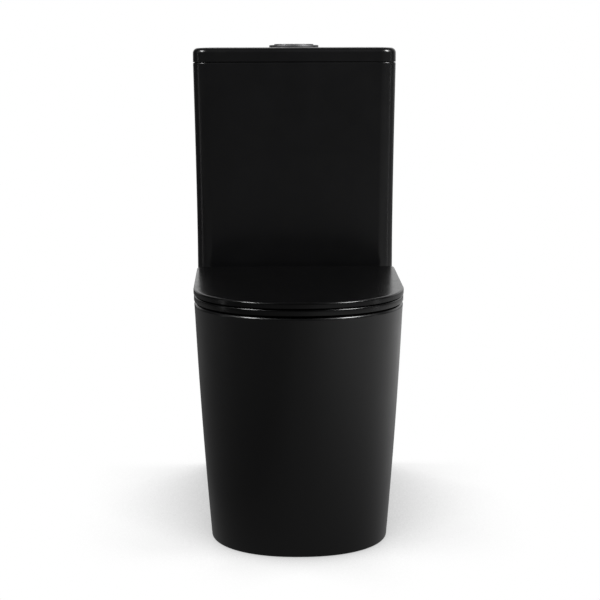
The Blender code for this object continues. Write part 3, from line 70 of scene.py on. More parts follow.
# Places that come from the CAD model
WALL_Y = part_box("pan")[1].y
RIM_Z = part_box("pan")[1].z
RING_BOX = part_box("seat_ring")
LID_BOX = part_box("seat_lid")
TANK_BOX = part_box("cistern_tank")
COVER_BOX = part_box("cistern_lid")
BEZEL_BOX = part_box("button_bezel")
TRAP_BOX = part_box("pan_trap")
PIN_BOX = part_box("hinge_pin_left")
FRONT_Y = LID_BOX[0].y
CISTERN_Y = (BEZEL_BOX[0].y + BEZEL_BOX[1].y) / 2
HINGE_Y = (PIN_BOX[0].y + PIN_BOX[1].y) / 2
HINGE_Z = (PIN_BOX[0].z + PIN_BOX[1].z) / 2
HINGE_X = -(PIN_BOX[0].x + PIN_BOX[1].x) / 2

# Outline that the seat and the rim share
SEAT_WIDTH = 346 * MM
SEAT_REAR_WIDTH = LID_BOX[1].x - LID_BOX[0].x
SEAT_NOSE = 200 * MM
NOSE_Y = FRONT_Y + SEAT_NOSE
NOSE_POWER = 2.2
NOSE_STEPS = 80
SIDE_STEPS = 16
CORNER_STEPS = 6
REAR_STEPS = 16
REAR_COUNT = 2 * SIDE_STEPS + 2 * CORNER_STEPS + REAR_STEPS

# Pan
SEAT_PROUD = 1.2 * MM
PAN_REAR_WIDTH = 354 * MM
PAN_FOOT_WIDTH = 293 * MM
PAN_FOOT_REAR_WIDTH = 300 * MM
FOOT_NOSE = 153 * MM
FOOT_EASE = 0.3
FOOT_CHAMFER = 0.6 * MM
SKIRT_WALL = 12 * MM
SKIRT_ROWS = 24
DECK = 14 * MM
UNDER_Z = RIM_Z - DECK
RIM_LAND = 37 * MM
NOSE_LAND = 42 * MM
BOWL_HALF = SEAT_WIDTH / 2 - RIM_LAND
BOWL_FRONT = SEAT_NOSE - NOSE_LAND
BOWL_REAR = 128 * MM
BOWL_WALL = 10 * MM
SUMP_Y = NOSE_Y + 44.5 * MM
SUMP_Z = 72 * MM
# share of the depth, share of the width, share of the way back to the sump
BOWL_PROFILE = (
    (0.02, 0.999, 0), (0.07, 0.992, 0.005), (0.124, 0.98, 0.02), (0.23, 0.93, 0.08),
    (0.385, 0.79, 0.3), (0.54, 0.58, 0.62), (0.64, 0.44, 0.86), (0.7, 0.385, 0.98),
)
TRAP_R = 38 * MM
TRAP_WALL = 8 * MM
OUTLET_R = TRAP_BOX[1].x
OUTLET_WALL = 6 * MM
OUTLET_Z = 180 * MM
FLARE_FROM = 0.8
FLARE_RATE = 5
BEND_R = 60 * MM
BEND_TURN = 70
BEND_STEPS = 12
RISE_HEADING = 65
RISE_R = 62 * MM
RISE_LENGTH = 56 * MM
WEIR_HEADING = -40
WEIR_R = 60 * MM
OUTLET_BEND_R = 70 * MM
DUCT_HALF = 40 * MM
DUCT_HEIGHT = 37 * MM
DUCT_CEILING = 22 * MM
DUCT_WALL = 12 * MM
DUCT_FLOOR_Z = RIM_Z - DUCT_CEILING - DUCT_HEIGHT
DUCT_CEILING_Z = RIM_Z - DUCT_CEILING
DUCT_ROUND = 9 * MM
BOWL_BACK_Y = NOSE_Y + BOWL_REAR

# Seat
RING_INSET = 0.6 * MM
HOLE_WIDTH = 232 * MM
HOLE_FRONT = 58 * MM
HOLE_LENGTH = 268 * MM
HOLE_AHEAD = 0.55
HOLE_POWER = 2.1
LID_SKIN = 4.4 * MM
LID_EDGE = 5 * MM
SEAT_CORNER_R = 12 * MM
KNUCKLE_R = 7.5 * MM
KNUCKLE_LENGTH = 12 * MM
POST_LENGTH = 16 * MM
KNUCKLE_GAP = 0.5 * MM
KNUCKLE_EDGE = 0.8 * MM
RING_TOP_Z = RIM_Z + 12.4 * MM
RING_REAR_Y = HINGE_Y - KNUCKLE_R - 1.5 * MM
RING_EDGE = 1.2 * MM
RING_DIP = 1.6 * MM
RING_LAND_DROP = 0.05 * MM
ARM_LENGTH = 12 * MM
LID_CROWN = 0.7 * MM
LID_TRAY_Z = LID_BOX[1].z - LID_SKIN
BUFFER_PROUD = 0.9 * MM
BUFFER_EDGE = 1.2 * MM

# Cistern
CISTERN_WIDTH = TANK_BOX[1].x - TANK_BOX[0].x
CISTERN_FOOT_WIDTH = 358 * MM
FACE_Y = TANK_BOX[0].y
TANK_WALL = 9 * MM
TANK_FLOOR = 14 * MM
FRONT_CORNER_R = 28 * MM
REAR_CORNER_R = 12 * MM
TAPER_START = 46 * MM
TAPER_POWER = 1.5
BOX_CORNER_STEPS = 14
BOX_SIDE_STEPS = 6
SEAM = 0.6 * MM
COVER_EDGE = 1 * MM
COVER_SKIN = 10 * MM
RIB_INSET = 11 * MM
RIB_WIDTH = 5 * MM
COVER_SPREAD = 46 * MM
TANK_FOOT_ROUND = 6 * MM
TANK_ROWS = 18

# Push buttons and small fittings
BUTTON_SPLIT = 1 * MM
BUTTON_DISH = 0.5 * MM
BUTTON_HOLE_R = 40.2 * MM
SLEEVE_R = 39 * MM
SLEEVE_BORE_R = 36.8 * MM
SLEEVE_FLOOR = 3 * MM
BEZEL_STAND = 0.3 * MM
BEZEL_EDGE = 1.2 * MM
CAP_EDGE = 1.4 * MM
SOFT_EDGE = 0.35 * MM

# Nodes that keep the CAD model's own edges
UNROUNDED = ("full_flush_spring", "half_flush_spring", "floor_bracket")


# Panel settings

class ToiletSizes(bpy.types.PropertyGroup):
    """Roundings that give each piece its edge highlights."""

    rim_round: FloatProperty(
        name="Rim rounding", description="Radius of the pan's outer top edge",
        default=5 * MM, min=1 * MM, max=10 * MM, unit="LENGTH",
    )
    bowl_round: FloatProperty(
        name="Bowl rounding", description="Radius where the rim turns down into the bowl",
        default=9 * MM, min=2 * MM, max=14 * MM, unit="LENGTH",
    )
    seat_round: FloatProperty(
        name="Seat rounding", description="Radius of the seat ring's top edges",
        default=3 * MM, min=0.5 * MM, max=4.5 * MM, unit="LENGTH",
    )
    lid_round: FloatProperty(
        name="Lid rounding", description="Radius of the seat lid's top edge",
        default=3.2 * MM, min=0.5 * MM, max=5 * MM, unit="LENGTH",
    )
    cover_round: FloatProperty(
        name="Cistern lid rounding", description="Radius of the cistern lid's top edge",
        default=8.5 * MM, min=2 * MM, max=14 * MM, unit="LENGTH",
    )
    cover_crown: FloatProperty(
        name="Cistern lid crown", description="How far the cistern lid's middle rises over its edge",
        default=1.8 * MM, min=0, max=4 * MM, unit="LENGTH",
    )
    seam_round: FloatProperty(
        name="Seam rounding", description="Radius of the cistern's edge under its lid",
        default=2.4 * MM, min=0.5 * MM, max=4 * MM, unit="LENGTH",
    )


class ToiletFinishes(bpy.types.PropertyGroup):
    """Colours and gloss of the finishes."""

    glaze: FloatVectorProperty(
        name="Glaze", description="Colour of the ceramic's glaze", subtype="COLOR",
        default=(0.0032, 0.0032, 0.0035), min=0, max=1,
    )
    glaze_roughness: FloatProperty(
        name="Glaze roughness", description="Roughness of the satin glaze",
        default=0.31, min=0, max=1, subtype="FACTOR",
    )
    resin: FloatVectorProperty(
        name="Seat resin", description="Colour of the seat and its lid", subtype="COLOR",
        default=(0.0012, 0.0012, 0.0013), min=0, max=1,
    )
    resin_roughness: FloatProperty(
        name="Seat roughness", description="Roughness of the seat and its lid",
        default=0.23, min=0, max=1, subtype="FACTOR",
    )
    chrome: FloatVectorProperty(
        name="Button chrome", description="Colour of the dark chrome on the push buttons", subtype="COLOR",
        default=(0.2, 0.2, 0.205), min=0, max=1,
    )


class ToiletStudio(bpy.types.PropertyGroup):
    """Brightness of the studio."""

    key_power: FloatProperty(
        name="Key light", description="Power of the soft light up at the right",
        default=70, min=0, unit="POWER",
    )
    floor_dark: FloatProperty(
        name="Floor at the left", description="Brightness of the floor in the glaze at the left",
        default=0.15, min=0, max=1,
    )
    floor_bright: FloatProperty(
        name="Floor at the right", description="Brightness of the floor in the glaze at the right",
        default=0.6, min=0, max=2,
    )
    left_power: FloatProperty(
        name="Left light", description="Power of the soft light up at the left",
        default=46, min=0, unit="POWER",
    )
    strip_power: FloatProperty(
        name="Strip lights", description="Power of each upright strip at the sides",
        default=1.2, min=0, unit="POWER",
    )
    dark: FloatProperty(
        name="Room", description="Brightness of the dark room round the toilet",
        default=0.035, min=0, max=1,
    )
    front: FloatProperty(
        name="Front", description="Brightness of the room straight before the toilet",
        default=0.05, min=0, max=1,
    )
    back: FloatProperty(
        name="Back wall", description="Brightness of the wall behind the toilet",
        default=0.8, min=0, max=2,
    )


# Outlines and rings

def between(low, high, share):
    return low + (high - low) * share


def sides():
    return (("left", -1), ("right", 1))


def superellipse(half, reach, angle, power):
    c, s = math.cos(angle), math.sin(angle)
    x = math.copysign(abs(c) ** (2 / power), c) * half
    y = math.copysign(abs(s) ** (2 / power), s) * reach
    return x, y


def footprint(half, rear_half, nose, rear_y, corner_r):
    """Plan outline with a rounded nose, from the right side round the front and back to the rear."""
    points = []
    for i in range(NOSE_STEPS):
        x, y = superellipse(half, nose, math.pi * i / NOSE_STEPS, NOSE_POWER)
        points.append((x, NOSE_Y - y))
    for i in range(SIDE_STEPS):
        share = i / SIDE_STEPS
        points.append((-between(half, rear_half, share), between(NOSE_Y, rear_y - corner_r, share)))
    for i in range(CORNER_STEPS):
        angle = math.radians(90 * i / CORNER_STEPS)
        x = rear_half - corner_r * (1 - math.cos(angle))
        points.append((-x, rear_y - corner_r * (1 - math.sin(angle))))
    for i in range(REAR_STEPS):
        points.append((between(-rear_half + corner_r, rear_half - corner_r, i / REAR_STEPS), rear_y))
    for i in range(CORNER_STEPS):
        angle = math.radians(90 * (1 - i / CORNER_STEPS))
        x = rear_half - corner_r * (1 - math.cos(angle))
        points.append((x, rear_y - corner_r * (1 - math.sin(angle))))
    for i in range(SIDE_STEPS):
        share = 1 - i / SIDE_STEPS
        points.append((between(half, rear_half, share), between(NOSE_Y, rear_y - corner_r, share)))
    return points


def oval(half, front, rear, power=2.0):
    """A closed oval about nought, in step with a footprint's points."""
    points = []
    for i in range(NOSE_STEPS):
        x, y = superellipse(half, front, math.pi * i / NOSE_STEPS, power)
        points.append((x, -y))
    for i in range(REAR_COUNT):
        x, y = superellipse(half, rear, math.pi * i / REAR_COUNT, power)
        points.append((-x, y))
    return points


def level(outline, z, y=0.0):
    return [Vector((p[0], p[1] + y, z)) for p in outline]


def tilted(outline, y, z, heading):
    """An outline square to a line that runs along a heading in the YZ plane."""
    up_y, up_z = -math.sin(heading), math.cos(heading)
    return [Vector((x, y + v * up_y, z + v * up_z)) for x, v in outline]


def blended(first, second, share):
    return [a.lerp(b, share) for a, b in zip(first, second)]


def box_outline(width, front_y, rear_y, front_r, rear_r):
    """A rectangle in plan with rounded corners and points along its sides."""
    half = width / 2
    corners = (
        (half - rear_r, rear_y - rear_r, rear_r, 0),
        (-half + rear_r, rear_y - rear_r, rear_r, 90),
        (-half + front_r, front_y + front_r, front_r, 180),
        (half - front_r, front_y + front_r, front_r, 270),
    )
    arcs = []
    for x, y, r, start in corners:
        arc = []
        for i in range(BOX_CORNER_STEPS + 1):
            angle = math.radians(start + 90 * i / BOX_CORNER_STEPS)
            arc.append((x + r * math.cos(angle), y + r * math.sin(angle)))
        arcs.append(arc)
    points = []
    for arc, following in zip(arcs, arcs[1:] + arcs[:1]):
        points += arc
        (x, y), (next_x, next_y) = arc[-1], following[0]
        for i in range(1, BOX_SIDE_STEPS):
            share = i / BOX_SIDE_STEPS
            points.append((between(x, next_x, share), between(y, next_y, share)))
    return points


def smooth_value(a, b, c, d, t):
    """A value between b and c on the curve that also heeds a before them and d after them."""
    bend = (2 * a - 5 * b + 4 * c - d) * t**2
    twist = (3 * b - a - 3 * c + d) * t**3
    return 0.5 * (2 * b + (c - a) * t + bend + twist)


def smooth_rows(rows, steps):
    """Rows of numbers with further rows between them on a smooth curve."""
    out = []
    last = len(rows) - 1
    for i in range(last):
        around = (rows[max(i - 1, 0)], rows[i], rows[i + 1], rows[min(i + 2, last)])
        for k in range(steps):
            out.append(tuple(smooth_value(*values, k / steps) for values in zip(*around)))
    out.append(tuple(rows[-1]))
    return out


# Meshes

def finished(name, bm, sharp=SHARP_EDGE):
    bmesh.ops.recalc_face_normals(bm, faces=bm.faces)
    mesh = bpy.data.meshes.new(name)
    bm.to_mesh(mesh)
    bm.free()
    mesh.shade_smooth()
    mesh.set_sharp_from_angle(angle=math.radians(sharp))
    obj = bpy.data.objects.new(name, mesh)
    bpy.context.scene.collection.objects.link(obj)
    return obj


def add_loft(bm, rings, closed=False):
    """Faces through rings of points; a closed loft joins its last ring to the first one."""
    loops = [[bm.verts.new(point) for point in ring] for ring in rings]
    count = len(rings[0])
    pairs = list(zip(loops, loops[1:]))
    if closed:
        pairs.append((loops[-1], loops[0]))
    for low, high in pairs:
        for i in range(count):
            j = (i + 1) % count
            bm.faces.new((low[i], low[j], high[j], high[i]))
    if not closed:
        bm.faces.new(loops[0])
        bm.faces.new(loops[-1])


def loft(name, rings, closed=False, sharp=SHARP_EDGE):
    bm = bmesh.new()
    add_loft(bm, rings, closed)
    return finished(name, bm, sharp)


def turned(name, profile, centre, steps=96, axis="Z"):
    """A closed profile of (radius, distance along the axis) turned about the axis."""
    bm = bmesh.new()
    verts = [bm.verts.new((radius, 0, height)) for radius, height in profile]
    edges = [bm.edges.new((a, b)) for a, b in zip(verts, verts[1:] + verts[:1])]
    bmesh.ops.spin(
        bm, geom=verts + edges, axis=(0, 0, 1), cent=(0, 0, 0), steps=steps, angle=math.tau, use_merge=True
    )
    bmesh.ops.remove_doubles(bm, verts=bm.verts, dist=1e-7)
    for vert in bm.verts:
        x, y, z = vert.co
        vert.co = Vector(centre) + (Vector((z, x, y)) if axis == "X" else Vector((x, y, z)))
    return finished(name, bm)


def slab(name, low, high):
    """A box between two corners, used as a cutter or as a web."""
    outline = [(low[0], low[1]), (high[0], low[1]), (high[0], high[1]), (low[0], high[1])]
    return loft(name, [level(outline, low[2]), level(outline, high[2])])


def baked(obj):
    """Makes the object's modifiers part of its mesh."""
    dg = bpy.context.evaluated_depsgraph_get()
    mesh = bpy.data.meshes.new_from_object(obj.evaluated_get(dg))
    obj.modifiers.clear()
    obj.data = mesh


def combined(obj, operation, others):
    """Cuts the other objects from this one or joins them to it, and removes them."""
    for other in others:
        modifier = obj.modifiers.new(operation, "BOOLEAN")
        modifier.operation = operation
        modifier.solver = "EXACT"
        modifier.object = other
    baked(obj)
    for other in others:
        bpy.data.objects.remove(other)
    obj.data.shade_smooth()
    obj.data.set_sharp_from_angle(angle=math.radians(SHARP_EDGE))


def rounded(obj, width):
    bevel = obj.modifiers.new("Rounded Edges", "BEVEL")
    bevel.width = width
    bevel.segments = 2
    bevel.limit_method = "ANGLE"
    bevel.angle_limit = math.radians(40)
    bevel.harden_normals = False


def even_shading(obj):
    weighted = obj.modifiers.new("Even Shading", "WEIGHTED_NORMAL")
    weighted.keep_sharp = True
    weighted.weight = 60


def placed(obj, body, slot, finish, *nodes):
    """Gives a new piece its finish and body, and hides the CAD pieces that it stands for."""
    obj.data.materials.clear()
    obj.data.materials.append(finish)
    even_shading(obj)
    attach(obj, body)
    if nodes:
        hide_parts(*nodes)


# Shader building

def link(tree, source, target):
    tree.links.new(source, target)


def new_group(name, inputs, outputs):
    """A node group. Each input is (name, kind, default) and each output is (name, kind)."""
    tree = bpy.data.node_groups.new(name, "ShaderNodeTree")
    for label, kind, default in inputs:
        socket = tree.interface.new_socket(name=label, in_out="INPUT", socket_type=f"NodeSocket{kind}")
        socket.default_value = default
    for label, kind in outputs:
        tree.interface.new_socket(name=label, in_out="OUTPUT", socket_type=f"NodeSocket{kind}")
    return tree, tree.nodes.new("NodeGroupInput").outputs, tree.nodes.new("NodeGroupOutput").inputs


def noise(tree, scale, detail=3.0, roughness=0.55, vector=None):
    node = tree.nodes.new("ShaderNodeTexNoise")
    node.inputs["Detail"].default_value = detail
    node.inputs["Roughness"].default_value = roughness
    if isinstance(scale, (int, float)):
        node.inputs["Scale"].default_value = scale
    else:
        link(tree, scale, node.inputs["Scale"])
    if vector:
        link(tree, vector, node.inputs["Vector"])
    return node.outputs["Fac"]


def remap(tree, value, low, high, to_low, to_high):
    node = tree.nodes.new("ShaderNodeMapRange")
    for socket, number in zip(node.inputs[1:5], (low, high, to_low, to_high)):
        if isinstance(number, (int, float)):
            socket.default_value = number
        else:
            link(tree, number, socket)
    link(tree, value, node.inputs["Value"])
    return node.outputs["Result"]


def maths(tree, operation, first, second):
    node = tree.nodes.new("ShaderNodeMath")
    node.operation = operation
    for socket, value in zip(node.inputs, (first, second)):
        if isinstance(value, (int, float)):
            socket.default_value = value
        else:
            link(tree, value, socket)
    return node.outputs[0]


def along(tree, vector, direction):
    """How far a vector reaches in a direction."""
    node = tree.nodes.new("ShaderNodeVectorMath")
    node.operation = "DOT_PRODUCT"
    node.inputs[1].default_value = direction
    link(tree, vector, node.inputs[0])
    return node.outputs["Value"]


def scaled_colour(tree, colour, factor):
    node = tree.nodes.new("ShaderNodeVectorMath")
    node.operation = "SCALE"
    link(tree, colour, node.inputs[0])
    link(tree, factor, node.inputs["Scale"])
    return node.outputs["Vector"]


def surface_group():
    """Slow drift of tone and gloss, fine grain and stray specks, used by every moulded or glazed finish."""
    tree, given, out = new_group(
        "Surface Character",
        (
            ("Colour", "Color", (0.5, 0.5, 0.5, 1)), ("Roughness", "Float", 0.4),
            ("Tone Drift", "Float", 0.1), ("Gloss Drift", "Float", 0.06), ("Grain Scale", "Float", 400.0),
            ("Ripple Scale", "Float", 30.0), ("Ripple", "Float", 0.5), ("Specks", "Float", 0.3),
        ),
        (("Colour", "Color"), ("Roughness", "Float"), ("Height", "Float")),
    )
    at = tree.nodes.new("ShaderNodeTexCoord").outputs["Object"]
    slow = noise(tree, 6.0, 2.0, 0.5, at)
    smear = noise(tree, 22.0, 4.0, 0.6, at)
    grain = noise(tree, given["Grain Scale"], 2.0, 0.6, at)
    ripple = noise(tree, given["Ripple Scale"], 1.0, 0.4, at)
    flecks = noise(tree, 1500.0, 1.0, 0.5, at)
    low = maths(tree, "SUBTRACT", 1.0, given["Tone Drift"])
    high = maths(tree, "ADD", 1.0, given["Tone Drift"])
    drift = remap(tree, slow, 0.3, 0.7, low, high)
    speck = maths(tree, "MULTIPLY", remap(tree, flecks, 0.7, 0.8, 0.0, 1.0), given["Specks"])
    link(tree, scaled_colour(tree, given["Colour"], maths(tree, "ADD", drift, speck)), out["Colour"])
    gloss = maths(tree, "MULTIPLY", remap(tree, smear, 0.25, 0.75, -1.0, 1.0), given["Gloss Drift"])
    rough = maths(tree, "ADD", given["Roughness"], gloss)
    link(tree, maths(tree, "ADD", rough, maths(tree, "MULTIPLY", speck, 0.2)), out["Roughness"])
    wave = maths(tree, "MULTIPLY", ripple, given["Ripple"])
    link(tree, maths(tree, "ADD", maths(tree, "MULTIPLY", grain, 0.12), wave), out["Height"])
    return tree


def brushed_group():
    """Fine lines that run round or along a metal piece."""
    tree, given, out = new_group(
        "Brushed Lines",
        (
            ("Colour", "Color", (0.5, 0.5, 0.5, 1)), ("Roughness", "Float", 0.3),
            ("Stretch", "Vector", (1, 1, 1)), ("Line Scale", "Float", 300.0), ("Contrast", "Float", 0.2),
        ),
        (("Colour", "Color"), ("Roughness", "Float"), ("Height", "Float")),
    )
    at = tree.nodes.new("ShaderNodeTexCoord").outputs["Object"]
    stretched = tree.nodes.new("ShaderNodeVectorMath")
    stretched.operation = "MULTIPLY"
    link(tree, at, stretched.inputs[0])
    link(tree, given["Stretch"], stretched.inputs[1])
    lines = noise(tree, given["Line Scale"], 3.0, 0.6, stretched.outputs["Vector"])
    cloud = noise(tree, 25.0, 3.0, 0.5, at)
    low, high = maths(tree, "SUBTRACT", 1.0, given["Contrast"]), maths(tree, "ADD", 1.0, given["Contrast"])
    link(tree, scaled_colour(tree, given["Colour"], remap(tree, lines, 0.3, 0.7, low, high)), out["Colour"])
    mixed = maths(tree, "ADD", maths(tree, "MULTIPLY", lines, 0.12), maths(tree, "MULTIPLY", cloud, 0.1))
    link(tree, maths(tree, "ADD", given["Roughness"], maths(tree, "SUBTRACT", mixed, 0.11)), out["Roughness"])
    link(tree, lines, out["Height"])
    return tree


def finish_material(name, group, settings, bump, bump_distance, shader_values):
    """A material whose colour, roughness and fine relief come from a group's outputs."""
    material = bpy.data.materials.get(name)
    if material:
        return material
    material = bpy.data.materials.new(name)
    material.use_nodes = True
    tree = material.node_tree
    shader = tree.nodes["Principled BSDF"]
    character = tree.nodes.new("ShaderNodeGroup")
    character.node_tree = group
    for label, value in settings.items():
        character.inputs[label].default_value = value
    relief = tree.nodes.new("ShaderNodeBump")
    relief.inputs["Strength"].default_value = bump
    relief.inputs["Distance"].default_value = bump_distance
    link(tree, character.outputs["Colour"], shader.inputs["Base Color"])
    link(tree, character.outputs["Roughness"], shader.inputs["Roughness"])
    link(tree, character.outputs["Height"], relief.inputs["Height"])
    link(tree, relief.outputs["Normal"], shader.inputs["Normal"])
    for label, value in shader_values.items():
        shader.inputs[label].default_value = value
    return material


def group_called(name, make):
    return bpy.data.node_groups.get(name) or make()


def surface():
    return group_called("Surface Character", surface_group)


def brushed():
    return group_called("Brushed Lines", brushed_group)


def glaze():
    finishes = bpy.context.scene.toilet_finishes
    return finish_material(
        "Satin Black Glaze", surface(),
        {
            "Colour": (*finishes.glaze, 1), "Roughness": finishes.glaze_roughness, "Tone Drift": 0.12,
            "Gloss Drift": 0.035, "Grain Scale": 700.0, "Ripple Scale": 14.0, "Ripple": 1.0, "Specks": 0.25,
        },
        0.12, 0.6 * MM, {"Specular IOR Level": 0.35, "Coat Weight": 0.25, "Coat Roughness": 0.13},
    )


def resin():
    finishes = bpy.context.scene.toilet_finishes
    return finish_material(
        "Satin Black Seat Resin", surface(),
        {
            "Colour": (*finishes.resin, 1), "Roughness": finishes.resin_roughness, "Tone Drift": 0.06,
            "Gloss Drift": 0.03, "Grain Scale": 1100.0, "Ripple Scale": 8.0, "Ripple": 0.4, "Specks": 0.2,
        },
        0.08, 0.4 * MM, {"Specular IOR Level": 0.36},
    )


def dark_chrome():
    finishes = bpy.context.scene.toilet_finishes
    return finish_material(
        "Dark Satin Chrome", brushed(),
        {
            "Colour": (*finishes.chrome, 1), "Roughness": 0.5, "Stretch": (1, 14, 1), "Line Scale": 160.0,
            "Contrast": 0.1,
        },
        0.05, 0.1 * MM, {"Metallic": 1.0},
    )


def black_plastic():
    return finish_material(
        "Moulded Black Plastic", surface(),
        {
            "Colour": (0.014, 0.014, 0.015, 1), "Roughness": 0.42, "Tone Drift": 0.1, "Gloss Drift": 0.06,
            "Grain Scale": 1600.0, "Ripple Scale": 60.0, "Ripple": 0.3, "Specks": 0.3,
        },
        0.25, 0.3 * MM, {},
    )


def white_plastic():
    return finish_material(
        "Moulded White Plastic", surface(),
        {
            "Colour": (0.76, 0.77, 0.77, 1), "Roughness": 0.38, "Tone Drift": 0.04, "Gloss Drift": 0.07,
            "Grain Scale": 1300.0, "Ripple Scale": 50.0, "Ripple": 0.4, "Specks": 0.0,
        },
        0.2, 0.3 * MM, {"Subsurface Weight": 0.04, "Subsurface Radius": (0.004, 0.004, 0.004)},
    )


def grey_plastic():
    return finish_material(
        "Moulded Grey Plastic", surface(),
        {
            "Colour": (0.3, 0.32, 0.34, 1), "Roughness": 0.42, "Tone Drift": 0.07, "Gloss Drift": 0.07,
            "Grain Scale": 1300.0, "Ripple Scale": 45.0, "Ripple": 0.4, "Specks": 0.05,
        },
        0.25, 0.3 * MM, {},
    )


def rubber():
    return finish_material(
        "Soft Black Rubber", surface(),
        {
            "Colour": (0.022, 0.022, 0.023, 1), "Roughness": 0.78, "Tone Drift": 0.25, "Gloss Drift": 0.1,
            "Grain Scale": 900.0, "Ripple Scale": 90.0, "Ripple": 0.6, "Specks": 1.2,
        },
        0.5, 0.4 * MM, {"Sheen Weight": 0.15, "Sheen Roughness": 0.5},
    )


def steel():
    return finish_material(
        "Stainless Steel", brushed(),
        {
            "Colour": (0.58, 0.58, 0.59, 1), "Roughness": 0.3, "Stretch": (9, 9, 1), "Line Scale": 220.0,
            "Contrast": 0.15,
        },
        0.2, 0.1 * MM, {"Metallic": 1.0},
    )


# Pan

def pan_outline(z, inset=0.0):
    share = min(max(z / RIM_Z, 0), 1)
    eased = share * (1 + FOOT_EASE) - FOOT_EASE * share**2
    half = between(PAN_FOOT_WIDTH / 2, SEAT_WIDTH / 2 - SEAT_PROUD, eased) - inset
    rear_half = between(PAN_FOOT_REAR_WIDTH / 2, PAN_REAR_WIDTH / 2, eased) - inset
    nose = between(FOOT_NOSE, SEAT_NOSE - SEAT_PROUD, eased) - inset
    return footprint(half, rear_half, nose, WALL_Y - inset, 3 * MM)


def quarter(radius, steps):
    """(inset, drop) round a quarter circle, from the side up to the top."""
    return [
        (radius * (1 - math.cos(math.pi / 2 * i / steps)), radius * (1 - math.sin(math.pi / 2 * i / steps)))
        for i in range(steps + 1)
    ]


def skirt_rings(rim_round):
    rings = [level(pan_outline(0, FOOT_CHAMFER), 0), level(pan_outline(0), FOOT_CHAMFER)]
    top = RIM_Z - rim_round
    rings += [level(pan_outline(top * i / SKIRT_ROWS), top * i / SKIRT_ROWS) for i in range(1, SKIRT_ROWS)]
    for inset, drop in quarter(rim_round, 8):
        rings.append(level(pan_outline(RIM_Z, inset), RIM_Z - drop))
    rings.append(level(pan_outline(RIM_Z, rim_round + 1.5 * MM), RIM_Z))
    return rings


def bowl_rows(wall):
    """Rows down the bowl and round to the trap.

    Each is (half width, reach to the front, reach to the rear, centre's Y, Z, heading).
    """
    rows = []
    for depth, width, back in BOWL_PROFILE:
        rows.append((
            BOWL_HALF * width + wall, BOWL_FRONT * width + wall,
            between(BOWL_REAR, BOWL_HALF, back) * width + wall,
            between(NOSE_Y, SUMP_Y, back), between(RIM_Z, SUMP_Z, depth), -math.pi / 2,
        ))
    rows = smooth_rows(rows, 4)
    half = rows[-1][0] - wall
    start_y, start_z = rows[-1][3], rows[-1][4]
    for i in range(1, BEND_STEPS + 1):
        turn = math.radians(BEND_TURN * i / BEND_STEPS)
        r = between(half, TRAP_R, i / BEND_STEPS) + wall
        y = start_y + BEND_R * (1 - math.cos(turn))
        rows.append((r, r, r, y, start_z - BEND_R * math.sin(turn), turn - math.pi / 2))
    return rows


def bent(start, heading_after, radius, steps):
    """(Y, Z, heading) rows round a bend."""
    y, z, heading = start
    step = (heading_after - heading) / steps
    length = abs(step) * radius
    rows = []
    for _ in range(steps):
        y += length * math.cos(heading + step / 2)
        z += length * math.sin(heading + step / 2)
        heading += step
        rows.append((y, z, heading))
    return rows


def trap_rows(start):
    """(Y, Z, heading, how far along to the outlet) from the bowl's bend, over the weir and out."""
    rows = bent(start, math.radians(RISE_HEADING), RISE_R, 12)
    y, z, heading = rows[-1]
    rows.append((y + RISE_LENGTH * math.cos(heading), z + RISE_LENGTH * math.sin(heading), heading))
    rows += bent(rows[-1], math.radians(WEIR_HEADING), WEIR_R, 14)
    y, z, heading = rows[-1]
    drop = z - OUTLET_Z - OUTLET_BEND_R * (1 - math.cos(heading))
    rows.append((y + drop / math.tan(-heading), z - drop, heading))
    rows += bent(rows[-1], 0.0, OUTLET_BEND_R, 8)
    return [(*row, i / len(rows)) for i, row in enumerate(rows, 1)]


def mouth(grow, z):
    """The bowl's opening at a height, larger all round by a distance."""
    return level(oval(BOWL_HALF + grow, BOWL_FRONT + grow, BOWL_REAR + grow), z, NOSE_Y)


def mouth_rings(outer, edge):
    """Across the rim's flat top and over its edge into the bowl."""
    lip = mouth(edge, RIM_Z)
    rings = [blended(outer, lip, 0.5), blended(outer, lip, 0.93), lip]
    rings += [mouth(inset, RIM_Z - drop) for inset, drop in quarter(edge, 8)[-2::-1]]
    return rings


def bowl_ring(row):
    return tilted(oval(*row[:3]), *row[3:])


def pipe_ring(radius, y, z, heading=0):
    return tilted(oval(radius, radius, radius), y, z, heading)


def pipe_rings(pipe, radius, end_radius):
    """Rings along the trap, which widen near its outlet."""
    rings = []
    for y, z, heading, share in pipe:
        flare = max(0, share - FLARE_FROM) * FLARE_RATE
        rings.append(pipe_ring(between(radius, end_radius, flare), y, z, heading))
    return rings


def outlet_rings():
    end_y = TRAP_BOX[1].y
    return [
        pipe_ring(OUTLET_R - OUTLET_WALL, end_y, OUTLET_Z), pipe_ring(OUTLET_R - 1 * MM, end_y, OUTLET_Z),
        pipe_ring(OUTLET_R, end_y - 1 * MM, OUTLET_Z),
    ]


def hollow_rings():
    """From the bowl's shoulder across the deck's underside, and down the skirt's inner face."""
    shoulder = oval(BOWL_HALF + 14 * MM, BOWL_FRONT + 13 * MM, BOWL_REAR + 14 * MM)
    near = level(oval(BOWL_HALF + 17 * MM, BOWL_FRONT + 16 * MM, BOWL_REAR + 20 * MM), UNDER_Z, NOSE_Y)
    inner = level(pan_outline(UNDER_Z, SKIRT_WALL), UNDER_Z)
    rings = [level(shoulder, UNDER_Z - 3 * MM, NOSE_Y)]
    rings += [near, blended(near, inner, 0.6), blended(near, inner, 0.97)]
    for i in range(12):
        z = (UNDER_Z - 4 * MM) * (1 - i / 11)
        rings.append(level(pan_outline(z, SKIRT_WALL), z))
    return rings


